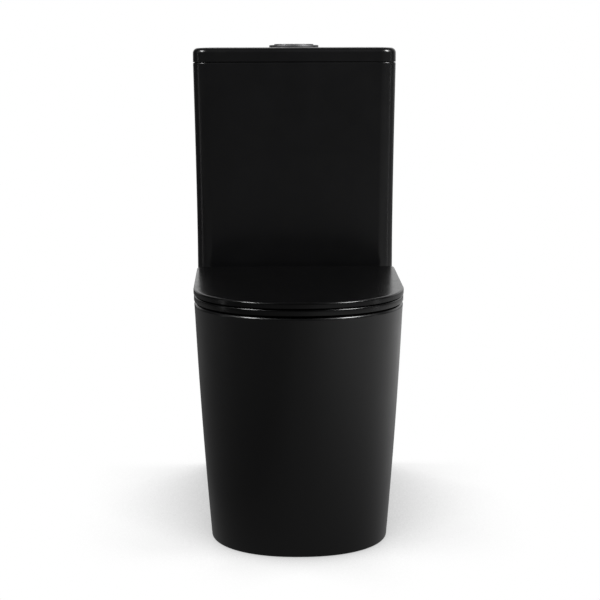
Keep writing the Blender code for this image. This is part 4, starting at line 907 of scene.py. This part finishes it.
def pan_rings(sizes):
    """Every ring of the pan: up the skirt, over the rim, down the bowl, through the trap and back outside."""
    rings = skirt_rings(sizes.rim_round)
    rings += mouth_rings(rings[-1], sizes.bowl_round)
    inside = [row for row in bowl_rows(0) if row[4] < RIM_Z - sizes.bowl_round]
    outside = [row for row in bowl_rows(BOWL_WALL) if row[4] < UNDER_Z - 12 * MM]
    pipe = trap_rows(inside[-1][3:])
    rings += [bowl_ring(row) for row in inside]
    rings += pipe_rings(pipe, TRAP_R, OUTLET_R - OUTLET_WALL)
    rings += outlet_rings()
    rings += pipe_rings(pipe[::-1], TRAP_R + TRAP_WALL, OUTLET_R)
    rings += [bowl_ring(row) for row in outside[::-1]]
    return rings + hollow_rings()


def rear_opening():
    """What leaves the skirt open towards the wall."""
    front, rear = WALL_Y - 40 * MM, WALL_Y + CUT_PAST
    rings = []
    for z in (-CUT_PAST, 0, 70 * MM, 140 * MM, 210 * MM, 280 * MM, 340 * MM, UNDER_Z - 5 * MM):
        half = pan_outline(max(z, 0), SKIRT_WALL + 1 * MM)[NOSE_STEPS + SIDE_STEPS][0]
        rings.append(level([(half, front), (-half, front), (-half, rear), (half, rear)], z))
    return loft("rear_opening", rings)


def duct_outline(grow, floor_z, ceiling_z, r):
    """An upright rounded rectangle round the duct as (x, z) points."""
    return box_outline(2 * (DUCT_HALF + grow), floor_z, ceiling_z, r, r)


def upright(outline, y):
    return [Vector((x, y, z)) for x, z in outline]


def duct_casing():
    front = BOWL_BACK_Y + 1 * MM
    rear = CISTERN_Y + 54 * MM
    bore = duct_outline(0, DUCT_FLOOR_Z, DUCT_CEILING_Z, DUCT_ROUND)
    casing = duct_outline(DUCT_WALL, DUCT_FLOOR_Z - DUCT_WALL, DUCT_CEILING_Z + 4 * MM, DUCT_ROUND + 3 * MM)
    rings = [upright(bore, rear - DUCT_WALL), upright(bore, front)]
    rings += [upright(casing, front), upright(casing, rear)]
    return loft("flush_duct", rings)


def duct_mouth():
    outline = duct_outline(0, DUCT_FLOOR_Z, DUCT_CEILING_Z, DUCT_ROUND)
    ends = (BOWL_BACK_Y - 40 * MM, BOWL_BACK_Y + 30 * MM)
    return loft("duct_mouth", [upright(outline, y) for y in ends])


class TOILET_OT_pan(bpy.types.Operator):
    """Make the pan with its rim, bowl, trap and flush duct"""

    bl_idname = "toilet.pan"
    bl_label = "Pan"

    def execute(self, context):
        pan = loft("pan_ceramic", pan_rings(context.scene.toilet_sizes), closed=True)
        combined(pan, "DIFFERENCE", [rear_opening(), duct_mouth()])
        placed(pan, ROOT, "black_ceramic", glaze(), "pan", "pan_bowl", "pan_trap")
        placed(duct_casing(), ROOT, "black_ceramic", glaze())
        return {"FINISHED"}


# Seat

def seat_outline(inset, rear_y):
    r = max(SEAT_CORNER_R - inset, 3 * MM)
    return footprint(SEAT_WIDTH / 2 - inset, SEAT_REAR_WIDTH / 2 - inset, SEAT_NOSE - inset, rear_y, r)


def hinge_spans(sign):
    """The ring's knuckle, the post and the lid's knuckle along the hinge's axis."""
    middle = sign * HINGE_X
    near = POST_LENGTH / 2 + KNUCKLE_GAP
    far = near + KNUCKLE_LENGTH
    return (
        sorted((middle + sign * near, middle + sign * far)),
        (middle - POST_LENGTH / 2, middle + POST_LENGTH / 2),
        sorted((middle - sign * far, middle - sign * near)),
    )


def knuckle(name, span):
    low, high = span
    r, edge = KNUCKLE_R, KNUCKLE_EDGE
    profile = [(0, low), (r - edge, low), (r, low + edge), (r, high - edge), (r - edge, high), (0, high)]
    return turned(name, profile, (0, HINGE_Y, HINGE_Z), 48, "X")


def ring_outside(inset, z):
    return level(seat_outline(RING_INSET + inset, RING_REAR_Y - inset), z)


def ring_hole(grow, z):
    ahead = HOLE_LENGTH * HOLE_AHEAD
    outline = oval(HOLE_WIDTH / 2 + grow, ahead + grow, HOLE_LENGTH - ahead + grow, HOLE_POWER)
    return level(outline, z, FRONT_Y + HOLE_FRONT + ahead)


def ring_top_rings(r):
    """From the flat land by the outer edge down the dished top to the hole's lip."""
    land_z, lip_z = RING_TOP_Z - RING_LAND_DROP, RING_TOP_Z - RING_DIP
    start, lip = ring_outside(r + 8 * MM, land_z), ring_hole(r + 2 * MM, lip_z)
    rings = [ring_outside(r + 1.2 * MM, RING_TOP_Z), start]
    for share in (0.25, 0.5, 0.75, 0.92):
        z = between(land_z, lip_z, share**1.6)
        rings.append([Vector((point.x, point.y, z)) for point in blended(start, lip, share)])
    return [*rings, lip]


def ring_rings(sizes):
    """Up the ring's outer side, across its top and down the hole."""
    low, r, edge = RING_BOX[0].z, sizes.seat_round, RING_EDGE
    rings = [ring_outside(edge - i, low + d) for i, d in ((0, 0), (edge * 0.7, edge * 0.3), (edge, edge))]
    rings += [ring_outside(i, RING_TOP_Z - d) for i, d in quarter(r, 6)]
    rings += ring_top_rings(r)
    rings += [ring_hole(i, RING_TOP_Z - RING_DIP - d) for i, d in quarter(r + 1 * MM, 6)[-2::-1]]
    rings += [ring_hole(0, low + edge), ring_hole(0.3 * edge, low + 0.3 * edge), ring_hole(edge, low)]
    return rings


def make_ring(sizes):
    ring = loft("seat_ring_shell", ring_rings(sizes), closed=True, sharp=SEAT_SHARP_EDGE)
    parts = []
    for side, sign in sides():
        span = hinge_spans(sign)[0]
        parts.append(slab(
            f"ring_arm_{side}", (span[0], RING_REAR_Y - ARM_LENGTH, HINGE_Z - 5 * MM),
            (span[1], HINGE_Y, HINGE_Z + 1 * MM),
        ))
        parts.append(knuckle(f"ring_knuckle_{side}", span))
    combined(ring, "UNION", parts)
    placed(ring, "seat_ring", "black_seat_resin", resin(), "seat_ring")


def lid_ring(inset, z, rear_inset=None):
    rear_inset = inset if rear_inset is None else rear_inset
    return level(seat_outline(inset, LID_BOX[1].y - rear_inset), z)


def lid_rings(sizes):
    """From the middle of the hollow underside, round the edge, to the crowned top."""
    low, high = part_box("lid_buffer_left")[0].z + BUFFER_PROUD, LID_BOX[1].z - LID_CROWN
    wall, tray_z = LID_EDGE, LID_TRAY_Z
    rings = [lid_ring(wall + 60 * MM, tray_z, 30 * MM), lid_ring(wall + 4 * MM, tray_z, 6 * MM)]
    rings.append(lid_ring(wall + 1.2 * MM, tray_z - 0.4 * MM, 3 * MM))
    rings.append(lid_ring(wall, tray_z - 1.6 * MM, 1.8 * MM))
    rings += [lid_ring(wall, low + 0.6 * MM, 1.8 * MM), lid_ring(wall - 0.6 * MM, low, 1.4 * MM)]
    rings += [lid_ring(0.8 * MM, low, 0.5 * MM), lid_ring(0, low + 0.8 * MM)]
    for inset, drop in quarter(sizes.lid_round, 8):
        rings.append(lid_ring(inset, high - drop))
    for inset in (6, 14, 30, 60, 90):
        rise = LID_CROWN * min(1, (inset / 90)) ** 0.7
        rings.append(lid_ring(inset * MM, high + rise))
    return rings


def make_lid(sizes):
    lid = loft("seat_lid_shell", lid_rings(sizes), sharp=SEAT_SHARP_EDGE)
    notches, parts = [], []
    for side, sign in sides():
        _, post, span = hinge_spans(sign)
        notches.append(slab(
            f"lid_notch_{side}", (post[0] - 2 * MM, HINGE_Y, LID_BOX[0].z - CUT_PAST),
            (post[1] + 2 * MM, LID_BOX[1].y + CUT_PAST, LID_TRAY_Z),
        ))
        parts.append(slab(
            f"lid_web_{side}", (span[0], HINGE_Y - 5 * MM, HINGE_Z + 2 * MM),
            (span[1], HINGE_Y + 5 * MM, LID_TRAY_Z + 1 * MM),
        ))
        parts.append(knuckle(f"lid_knuckle_{side}", span))
    combined(lid, "DIFFERENCE", notches)
    combined(lid, "UNION", parts)
    placed(lid, "seat_lid", "black_seat_resin", resin(), "seat_lid")


def make_buffer(node, body):
    """A soft button with a rounded foot, pressed into its seat."""
    low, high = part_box(node)
    radius = (high.x - low.x) / 2
    centre = ((low.x + high.x) / 2, (low.y + high.y) / 2, 0)
    edge = min(BUFFER_EDGE, (high.z - low.z) * 0.45)
    profile = [(0, low.z)]
    for step in range(0, 91, 15):
        angle = math.radians(step)
        profile.append((radius - edge + edge * math.sin(angle), low.z + (edge - edge * math.cos(angle))))
    profile += [(radius, high.z), (0, high.z)]
    placed(turned(f"{node}_button", profile, centre, 48), body, "rubber", rubber(), node)


class TOILET_OT_seat(bpy.types.Operator):
    """Make the seat ring, its lid and their buffers"""

    bl_idname = "toilet.seat"
    bl_label = "Seat and Lid"

    def execute(self, context):
        make_ring(context.scene.toilet_sizes)
        make_lid(context.scene.toilet_sizes)
        for side, _ in sides():
            make_buffer(f"seat_buffer_front_{side}", "seat_ring")
            make_buffer(f"seat_buffer_rear_{side}", "seat_ring")
            make_buffer(f"lid_buffer_{side}", "seat_lid")
        return {"FINISHED"}


# Cistern

def tank_width(z):
    start_z = RIM_Z + TAPER_START
    share = max(0.0, (z - start_z) / (TANK_BOX[1].z - start_z))
    return between(CISTERN_FOOT_WIDTH, CISTERN_WIDTH, share**TAPER_POWER)


def box_ring(width, z, inset):
    """A ring of the cistern or its lid, moved in from the faces by a distance."""
    outline = box_outline(
        width - 2 * inset, FACE_Y + inset, WALL_Y - inset,
        max(FRONT_CORNER_R - inset, 5 * MM), max(REAR_CORNER_R - inset, 4 * MM),
    )
    return level(outline, z)


def tank_ring(z, inset):
    return box_ring(tank_width(z), z, inset)


def tank_inside_rings(land_z):
    """From the land under the lid down the cistern's inner wall to its floor."""
    low, high = TANK_BOX[0].z, TANK_BOX[1].z
    floor_z = low + TANK_FLOOR
    rings = [tank_ring(land_z, TANK_WALL - 1 * MM), tank_ring(land_z - 1 * MM, TANK_WALL)]
    rings += [tank_ring(between(high - 1.5 * MM, floor_z + 8 * MM, i / 8), TANK_WALL) for i in range(1, 9)]
    rings += [tank_ring(floor_z + 2 * MM, TANK_WALL + 2.5 * MM), tank_ring(floor_z, TANK_WALL + 8 * MM)]
    return rings


def tank_rings(sizes):
    """From under the foot up the cistern's faces, over its edge and down inside it."""
    low, high = TANK_BOX[0].z, TANK_BOX[1].z
    foot, lip = TANK_FOOT_ROUND, sizes.seam_round
    rings = [tank_ring(low, foot + 3 * MM)]
    for inset, drop in quarter(foot, 5)[::-1]:
        rings.append([Vector((p.x, p.y, low + drop)) for p in tank_ring(low, inset)])
    for i in range(1, TANK_ROWS):
        rings.append(tank_ring(between(low + foot, high - lip, i / TANK_ROWS), 0))
    for inset, drop in quarter(lip, 5):
        rings.append(tank_ring(high - drop, inset))
    land_z = high + SEAM - 0.02 * MM
    rings += [tank_ring(high, lip + 0.6 * MM), tank_ring(land_z, lip + 0.8 * MM)]
    return rings + tank_inside_rings(land_z)


def cover_ring(z, inset):
    return box_ring(CISTERN_WIDTH, z, inset)


def cover_under_rings(low, high):
    """From the middle of the lid's hollow underside, round the rib and out to the seam."""
    under_z, rib_z = high - COVER_SKIN, COVER_BOX[0].z
    rib_in = RIB_INSET + RIB_WIDTH
    rings = [cover_ring(under_z, rib_in + 30 * MM), cover_ring(under_z, rib_in + 3 * MM)]
    rings += [cover_ring(under_z - 3 * MM, rib_in), cover_ring(rib_z + 1 * MM, rib_in)]
    rings += [cover_ring(rib_z, rib_in - 1 * MM), cover_ring(rib_z, RIB_INSET + 1 * MM)]
    rings += [cover_ring(rib_z + 1 * MM, RIB_INSET), cover_ring(low - 0.5 * MM, RIB_INSET)]
    return [*rings, cover_ring(low, RIB_INSET - 0.5 * MM)]


def cover_rings(sizes):
    """The lid's underside, then up its edge to the crowned top."""
    low, high = TANK_BOX[1].z + SEAM, COVER_BOX[1].z

    def fall(inset):
        return sizes.cover_crown * max(0.0, 1 - inset / COVER_SPREAD) ** 2

    rings = cover_under_rings(low, high)
    for inset, drop in quarter(COVER_EDGE, 4)[::-1]:
        rings.append(cover_ring(low + drop, inset))
    for inset, drop in quarter(sizes.cover_round, 12):
        rings.append(cover_ring(high - drop - fall(inset), inset))
    for inset in (12, 17, 24, 34, 46):
        rings.append(cover_ring(high - fall(inset * MM), inset * MM))
    return rings


class TOILET_OT_cistern(bpy.types.Operator):
    """Make the cistern and its lid"""

    bl_idname = "toilet.cistern"
    bl_label = "Cistern"

    def execute(self, context):
        sizes = context.scene.toilet_sizes
        tank = loft("cistern_shell", tank_rings(sizes))
        placed(tank, ROOT, "black_ceramic", glaze(), "cistern_tank")
        cover = loft("cistern_lid_slab", cover_rings(sizes))
        low, high = COVER_BOX[0].z - CUT_PAST, COVER_BOX[1].z + CUT_PAST
        hole = [(0, low), (BUTTON_HOLE_R, low), (BUTTON_HOLE_R, high), (0, high)]
        combined(cover, "DIFFERENCE", [turned("button_hole", hole, (0, CISTERN_Y, 0))])
        placed(cover, "cistern_lid", "black_ceramic", glaze(), "cistern_lid")
        return {"FINISHED"}


# Push buttons

def make_bezel():
    low, top = BEZEL_BOX
    outer = (top.x - low.x) / 2
    stand_z = COVER_BOX[1].z + BEZEL_STAND
    profile = [(0, low.z), (SLEEVE_R, low.z), (SLEEVE_R, stand_z)]
    profile += [(outer - 0.4 * MM, stand_z), (outer, stand_z + 0.5 * MM)]
    profile += [(outer - i, top.z - d) for i, d in quarter(BEZEL_EDGE, 6)]
    profile += [(SLEEVE_BORE_R + 1.4 * MM, top.z - 0.25 * MM), (SLEEVE_BORE_R + 0.5 * MM, top.z - 0.6 * MM)]
    profile += [(SLEEVE_BORE_R, top.z - 1.3 * MM)]
    profile += [(SLEEVE_BORE_R, low.z + SLEEVE_FLOOR), (0, low.z + SLEEVE_FLOOR)]
    bezel = turned("bezel_ring", profile, (0, CISTERN_Y, 0), 128)
    placed(bezel, "cistern_lid", "dark_chrome", dark_chrome(), "button_bezel")


def make_button(kind, sign):
    low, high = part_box(f"{kind}_flush_button")
    radius = high.y - CISTERN_Y
    start = math.acos(BUTTON_SPLIT / 2 / radius)
    outline = []
    for i in range(65):
        angle = between(-start, start, i / 64)
        outline.append((sign * radius * math.cos(angle), radius * math.sin(angle)))
    middle = Vector((sign * radius * 0.45, 0))

    def ring(share, z):
        return [Vector((between(middle.x, x, share), CISTERN_Y + y * share, z)) for x, y in outline]

    rings = [ring(1, low.z), ring(1, high.z - 0.9 * MM), ring(0.994, high.z - 0.35 * MM), ring(0.98, high.z)]
    for share in (0.96, 0.85, 0.7, 0.5, 0.3, 0.12):
        rings.append(ring(share, high.z - BUTTON_DISH * (1 - (share / 0.96) ** 2)))
    button = loft(f"{kind}_button_cap", rings, sharp=50)
    placed(button, f"{kind}_flush_button", "dark_chrome", dark_chrome(), f"{kind}_flush_button")


class TOILET_OT_buttons(bpy.types.Operator):
    """Make the push buttons and the bezel round them"""

    bl_idname = "toilet.buttons"
    bl_label = "Push Buttons"

    def execute(self, context):
        make_bezel()
        make_button("full", 1)
        make_button("half", -1)
        return {"FINISHED"}


# Small fittings

class TOILET_OT_side_caps(bpy.types.Operator):
    """Make the domed caps over the floor fixings"""

    bl_idname = "toilet.side_caps"
    bl_label = "Side Caps"

    def execute(self, context):
        for side, sign in sides():
            low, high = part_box(f"side_cap_{side}")
            radius = (high.z - low.z) / 2
            inner, outer = (low.x, high.x) if sign > 0 else (high.x, low.x)
            profile = [(0, inner), (radius, inner)]
            profile += [(radius - i, outer - sign * (d + 0.5 * MM)) for i, d in quarter(CAP_EDGE, 6)]
            profile += [(radius * 0.5, outer - sign * 0.15 * MM), (0, outer)]
            centre = (0, (low.y + high.y) / 2, (low.z + high.z) / 2)
            cap = turned(f"fixing_cap_{side}", profile, centre, 64, "X")
            placed(cap, ROOT, "black_plastic", black_plastic(), f"side_cap_{side}")
        return {"FINISHED"}


class TOILET_OT_fittings(bpy.types.Operator):
    """Give the valves, hinges, bolts and seals their finishes and soft edges"""

    bl_idname = "toilet.fittings"
    bl_label = "Valves and Fixings"

    def execute(self, context):
        finishes = {
            "black_ceramic": glaze, "black_seat_resin": resin, "dark_chrome": dark_chrome,
            "black_plastic": black_plastic, "rubber": rubber, "stainless_steel": steel,
            "white_plastic": white_plastic, "grey_plastic": grey_plastic,
        }
        for part in frame["record"]["subparts"]:
            node = frame["nodes"][part["node"]]
            node.data.materials.clear()
            node.data.materials.append(finishes[part["material_slot"]]())
            for polygon in node.data.polygons:
                polygon.use_smooth = True
            if not node.hide_render and not part["node"].startswith(UNROUNDED):
                weld = node.modifiers.new("Joined Corners", "WELD")
                weld.merge_threshold = 0.01 * MM
                rounded(node, SOFT_EDGE)
                even_shading(node)
        return {"FINISHED"}


# Studio

def light(name, at, aim, size, size_y, power):
    data = bpy.data.lights.new(name, "AREA")
    data.shape = "RECTANGLE"
    data.size, data.size_y = size, size_y
    data.energy = power
    lamp = bpy.data.objects.new(name, data)
    lamp.location = at
    lamp.rotation_euler = (Vector(aim) - Vector(at)).to_track_quat("-Z", "Y").to_euler()
    bpy.context.scene.collection.objects.link(lamp)


def camera_or_glaze(tree, to_camera, to_glaze, output):
    """Shows one surface to the camera, and another one to everything that mirrors it."""
    mix = tree.nodes.new("ShaderNodeMixShader")
    link(tree, tree.nodes.new("ShaderNodeLightPath").outputs["Is Camera Ray"], mix.inputs[0])
    link(tree, to_glaze.outputs[0], mix.inputs[1])
    link(tree, to_camera.outputs[0], mix.inputs[2])
    link(tree, mix.outputs[0], output.inputs["Surface"])


def floor_glow(tree, dark, bright):
    """The floor's glow that the glaze mirrors, a painted reflection: painted light brighter to the right,
    painted shade near the toilet, and fading far off.
    """
    at = tree.nodes.new("ShaderNodeTexCoord").outputs["Object"]
    measure = tree.nodes.new("ShaderNodeVectorMath")
    measure.operation = "LENGTH"
    link(tree, at, measure.inputs[0])
    distance, before = measure.outputs["Value"], along(tree, at, (0, -1, 0))
    # Painted light: the mirrored floor glows brighter towards the right, as if lit from that side.
    wash = remap(tree, along(tree, at, (0.99, 0.12, 0)), -0.35, 0.85, dark, bright)
    # Painted shade: the mirrored floor is darker close to the toilet, where the toilet's own shadow would
    # fall.
    near = remap(tree, distance, 0.3, 1.9, 0.68, 1.0)
    far = remap(tree, distance, 2.3, 3.3, 1.0, 0.3)
    lit = maths(tree, "MULTIPLY", wash, maths(tree, "MULTIPLY", near, far))
    # Painted light: a faint brighter band on the mirrored floor ahead of the toilet.
    rise = remap(tree, before, 1.8, 3.0, 0.0, 0.16)
    ahead = maths(tree, "MULTIPLY", rise, remap(tree, before, 3.5, 7.0, 1.0, 0.1))
    return maths(tree, "ADD", lit, ahead)


def floor_material(dark, bright):
    """White to the camera, dimmed where the toilet shades it."""
    material = bpy.data.materials.new("Pale Studio Floor")
    material.use_nodes = True
    tree = material.node_tree
    tree.nodes.remove(tree.nodes["Principled BSDF"])
    mirrored = tree.nodes.new("ShaderNodeEmission")
    link(tree, floor_glow(tree, dark, bright), mirrored.inputs["Strength"])
    shade = tree.nodes.new("ShaderNodeAmbientOcclusion")
    shade.samples = 8
    shade.inputs["Distance"].default_value = 0.45
    seen = tree.nodes.new("ShaderNodeEmission")
    link(tree, remap(tree, shade.outputs["AO"], 0.1, 0.75, 0.08, 1.0), seen.inputs["Strength"])
    camera_or_glaze(tree, seen, mirrored, tree.nodes["Material Output"])
    return material


def make_floor(dark, bright):
    bm = bmesh.new()
    loops = []
    for radius in (0.6, 2.0, 8.0, 40.0):
        angles = [math.tau * i / 64 for i in range(64)]
        loops.append([bm.verts.new((radius * math.cos(a), radius * math.sin(a), 0)) for a in angles])
    bm.faces.new(loops[0])
    for low, high in zip(loops, loops[1:]):
        for i in range(64):
            j = (i + 1) % 64
            bm.faces.new((low[i], low[j], high[j], high[i]))
    floor = finished("studio_floor", bm)
    if floor.data.polygons[0].normal.z < 0:
        floor.data.flip_normals()
    floor.data.materials.append(floor_material(dark, bright))


def make_room(dark, front, back):
    """White to the camera. The glaze mirrors a bright wall behind the toilet and a dim front."""
    world = bpy.data.worlds.new("Studio Room")
    world.use_nodes = True
    tree = world.node_tree
    room = tree.nodes["Background"]
    room.inputs["Color"].default_value = (1, 1, 1, 1)
    heading = tree.nodes.new("ShaderNodeTexCoord").outputs["Generated"]
    wall = remap(tree, along(tree, heading, (0.2, 0.98, 0)), 0.6, 0.92, dark, back)
    ahead = remap(tree, along(tree, heading, (0, -1, 0)), 0.85, 0.99, dark, front)
    link(tree, maths(tree, "MAXIMUM", wall, ahead), room.inputs["Strength"])
    white = tree.nodes.new("ShaderNodeBackground")
    white.inputs["Color"].default_value = (1, 1, 1, 1)
    white.inputs["Strength"].default_value = 1.0
    camera_or_glaze(tree, white, room, tree.nodes["World Output"])
    bpy.context.scene.world = world


def make_camera():
    data = bpy.data.cameras.new("Studio Camera")
    data.lens = 95.9
    data.sensor_width = 36
    camera = bpy.data.objects.new("Studio Camera", data)
    camera.location = (-0.051, -2.749, 0.7794)
    camera.rotation_euler = [math.radians(angle) for angle in (90 - 8.412, 0.15, -1.194)]
    bpy.context.scene.collection.objects.link(camera)
    bpy.context.scene.camera = camera


class TOILET_OT_stage(bpy.types.Operator):
    """Make the floor, the soft lights and the camera"""

    bl_idname = "toilet.stage"
    bl_label = "Studio"

    def execute(self, context):
        studio = context.scene.toilet_studio
        make_floor(studio.floor_dark, studio.floor_bright)
        make_room(studio.dark, studio.front, studio.back)
        seat, cistern = (0, -0.1, 0.4), (0, 0.15, 0.6)
        light("Key Light", (1.6, -0.85, 2.2), seat, 0.8, 0.8, studio.key_power)
        light("Left Light", (-1.6, -0.8, 2.3), seat, 0.6, 0.6, studio.left_power)
        light("Left Strip", (-2.4, -0.1, 0.7), cistern, 0.12, 1.8, studio.strip_power)
        light("Right Strip", (2.4, -0.1, 0.7), cistern, 0.12, 1.8, studio.strip_power)
        make_camera()
        context.scene.view_settings.view_transform = "Standard"
        return {"FINISHED"}


class TOILET_PT_sidebar(bpy.types.Panel):
    """Everything that the toilet is built from"""

    bl_label = "Toilet"
    bl_idname = "TOILET_PT_sidebar"
    bl_space_type = "VIEW_3D"
    bl_region_type = "UI"
    bl_category = "Toilet"

    def draw(self, context):
        layout = self.layout
        scene = context.scene
        for settings in (scene.toilet_sizes, scene.toilet_finishes, scene.toilet_studio):
            box = layout.box()
            for name in settings.__annotations__:
                box.prop(settings, name)
        for operator in OPERATORS:
            layout.operator(operator.bl_idname)


SETTINGS = (ToiletSizes, ToiletFinishes, ToiletStudio)
OPERATORS = (
    TOILET_OT_pan, TOILET_OT_seat, TOILET_OT_cistern, TOILET_OT_buttons,
    TOILET_OT_side_caps, TOILET_OT_fittings, TOILET_OT_stage,
)


def register():
    for cls in (*SETTINGS, *OPERATORS, TOILET_PT_sidebar):
        bpy.utils.register_class(cls)
    bpy.types.Scene.toilet_sizes = PointerProperty(type=ToiletSizes)
    bpy.types.Scene.toilet_finishes = PointerProperty(type=ToiletFinishes)
    bpy.types.Scene.toilet_studio = PointerProperty(type=ToiletStudio)


def unregister():
    del bpy.types.Scene.toilet_sizes, bpy.types.Scene.toilet_finishes, bpy.types.Scene.toilet_studio
    for cls in (TOILET_PT_sidebar, *OPERATORS[::-1], *SETTINGS[::-1]):
        bpy.utils.unregister_class(cls)


def main():
    register()
    bpy.ops.toilet.pan()
    bpy.ops.toilet.seat()
    bpy.ops.toilet.cistern()
    bpy.ops.toilet.buttons()
    bpy.ops.toilet.side_caps()
    bpy.ops.toilet.fittings()
    bpy.ops.toilet.stage()


if __name__ == "__main__":
    main()
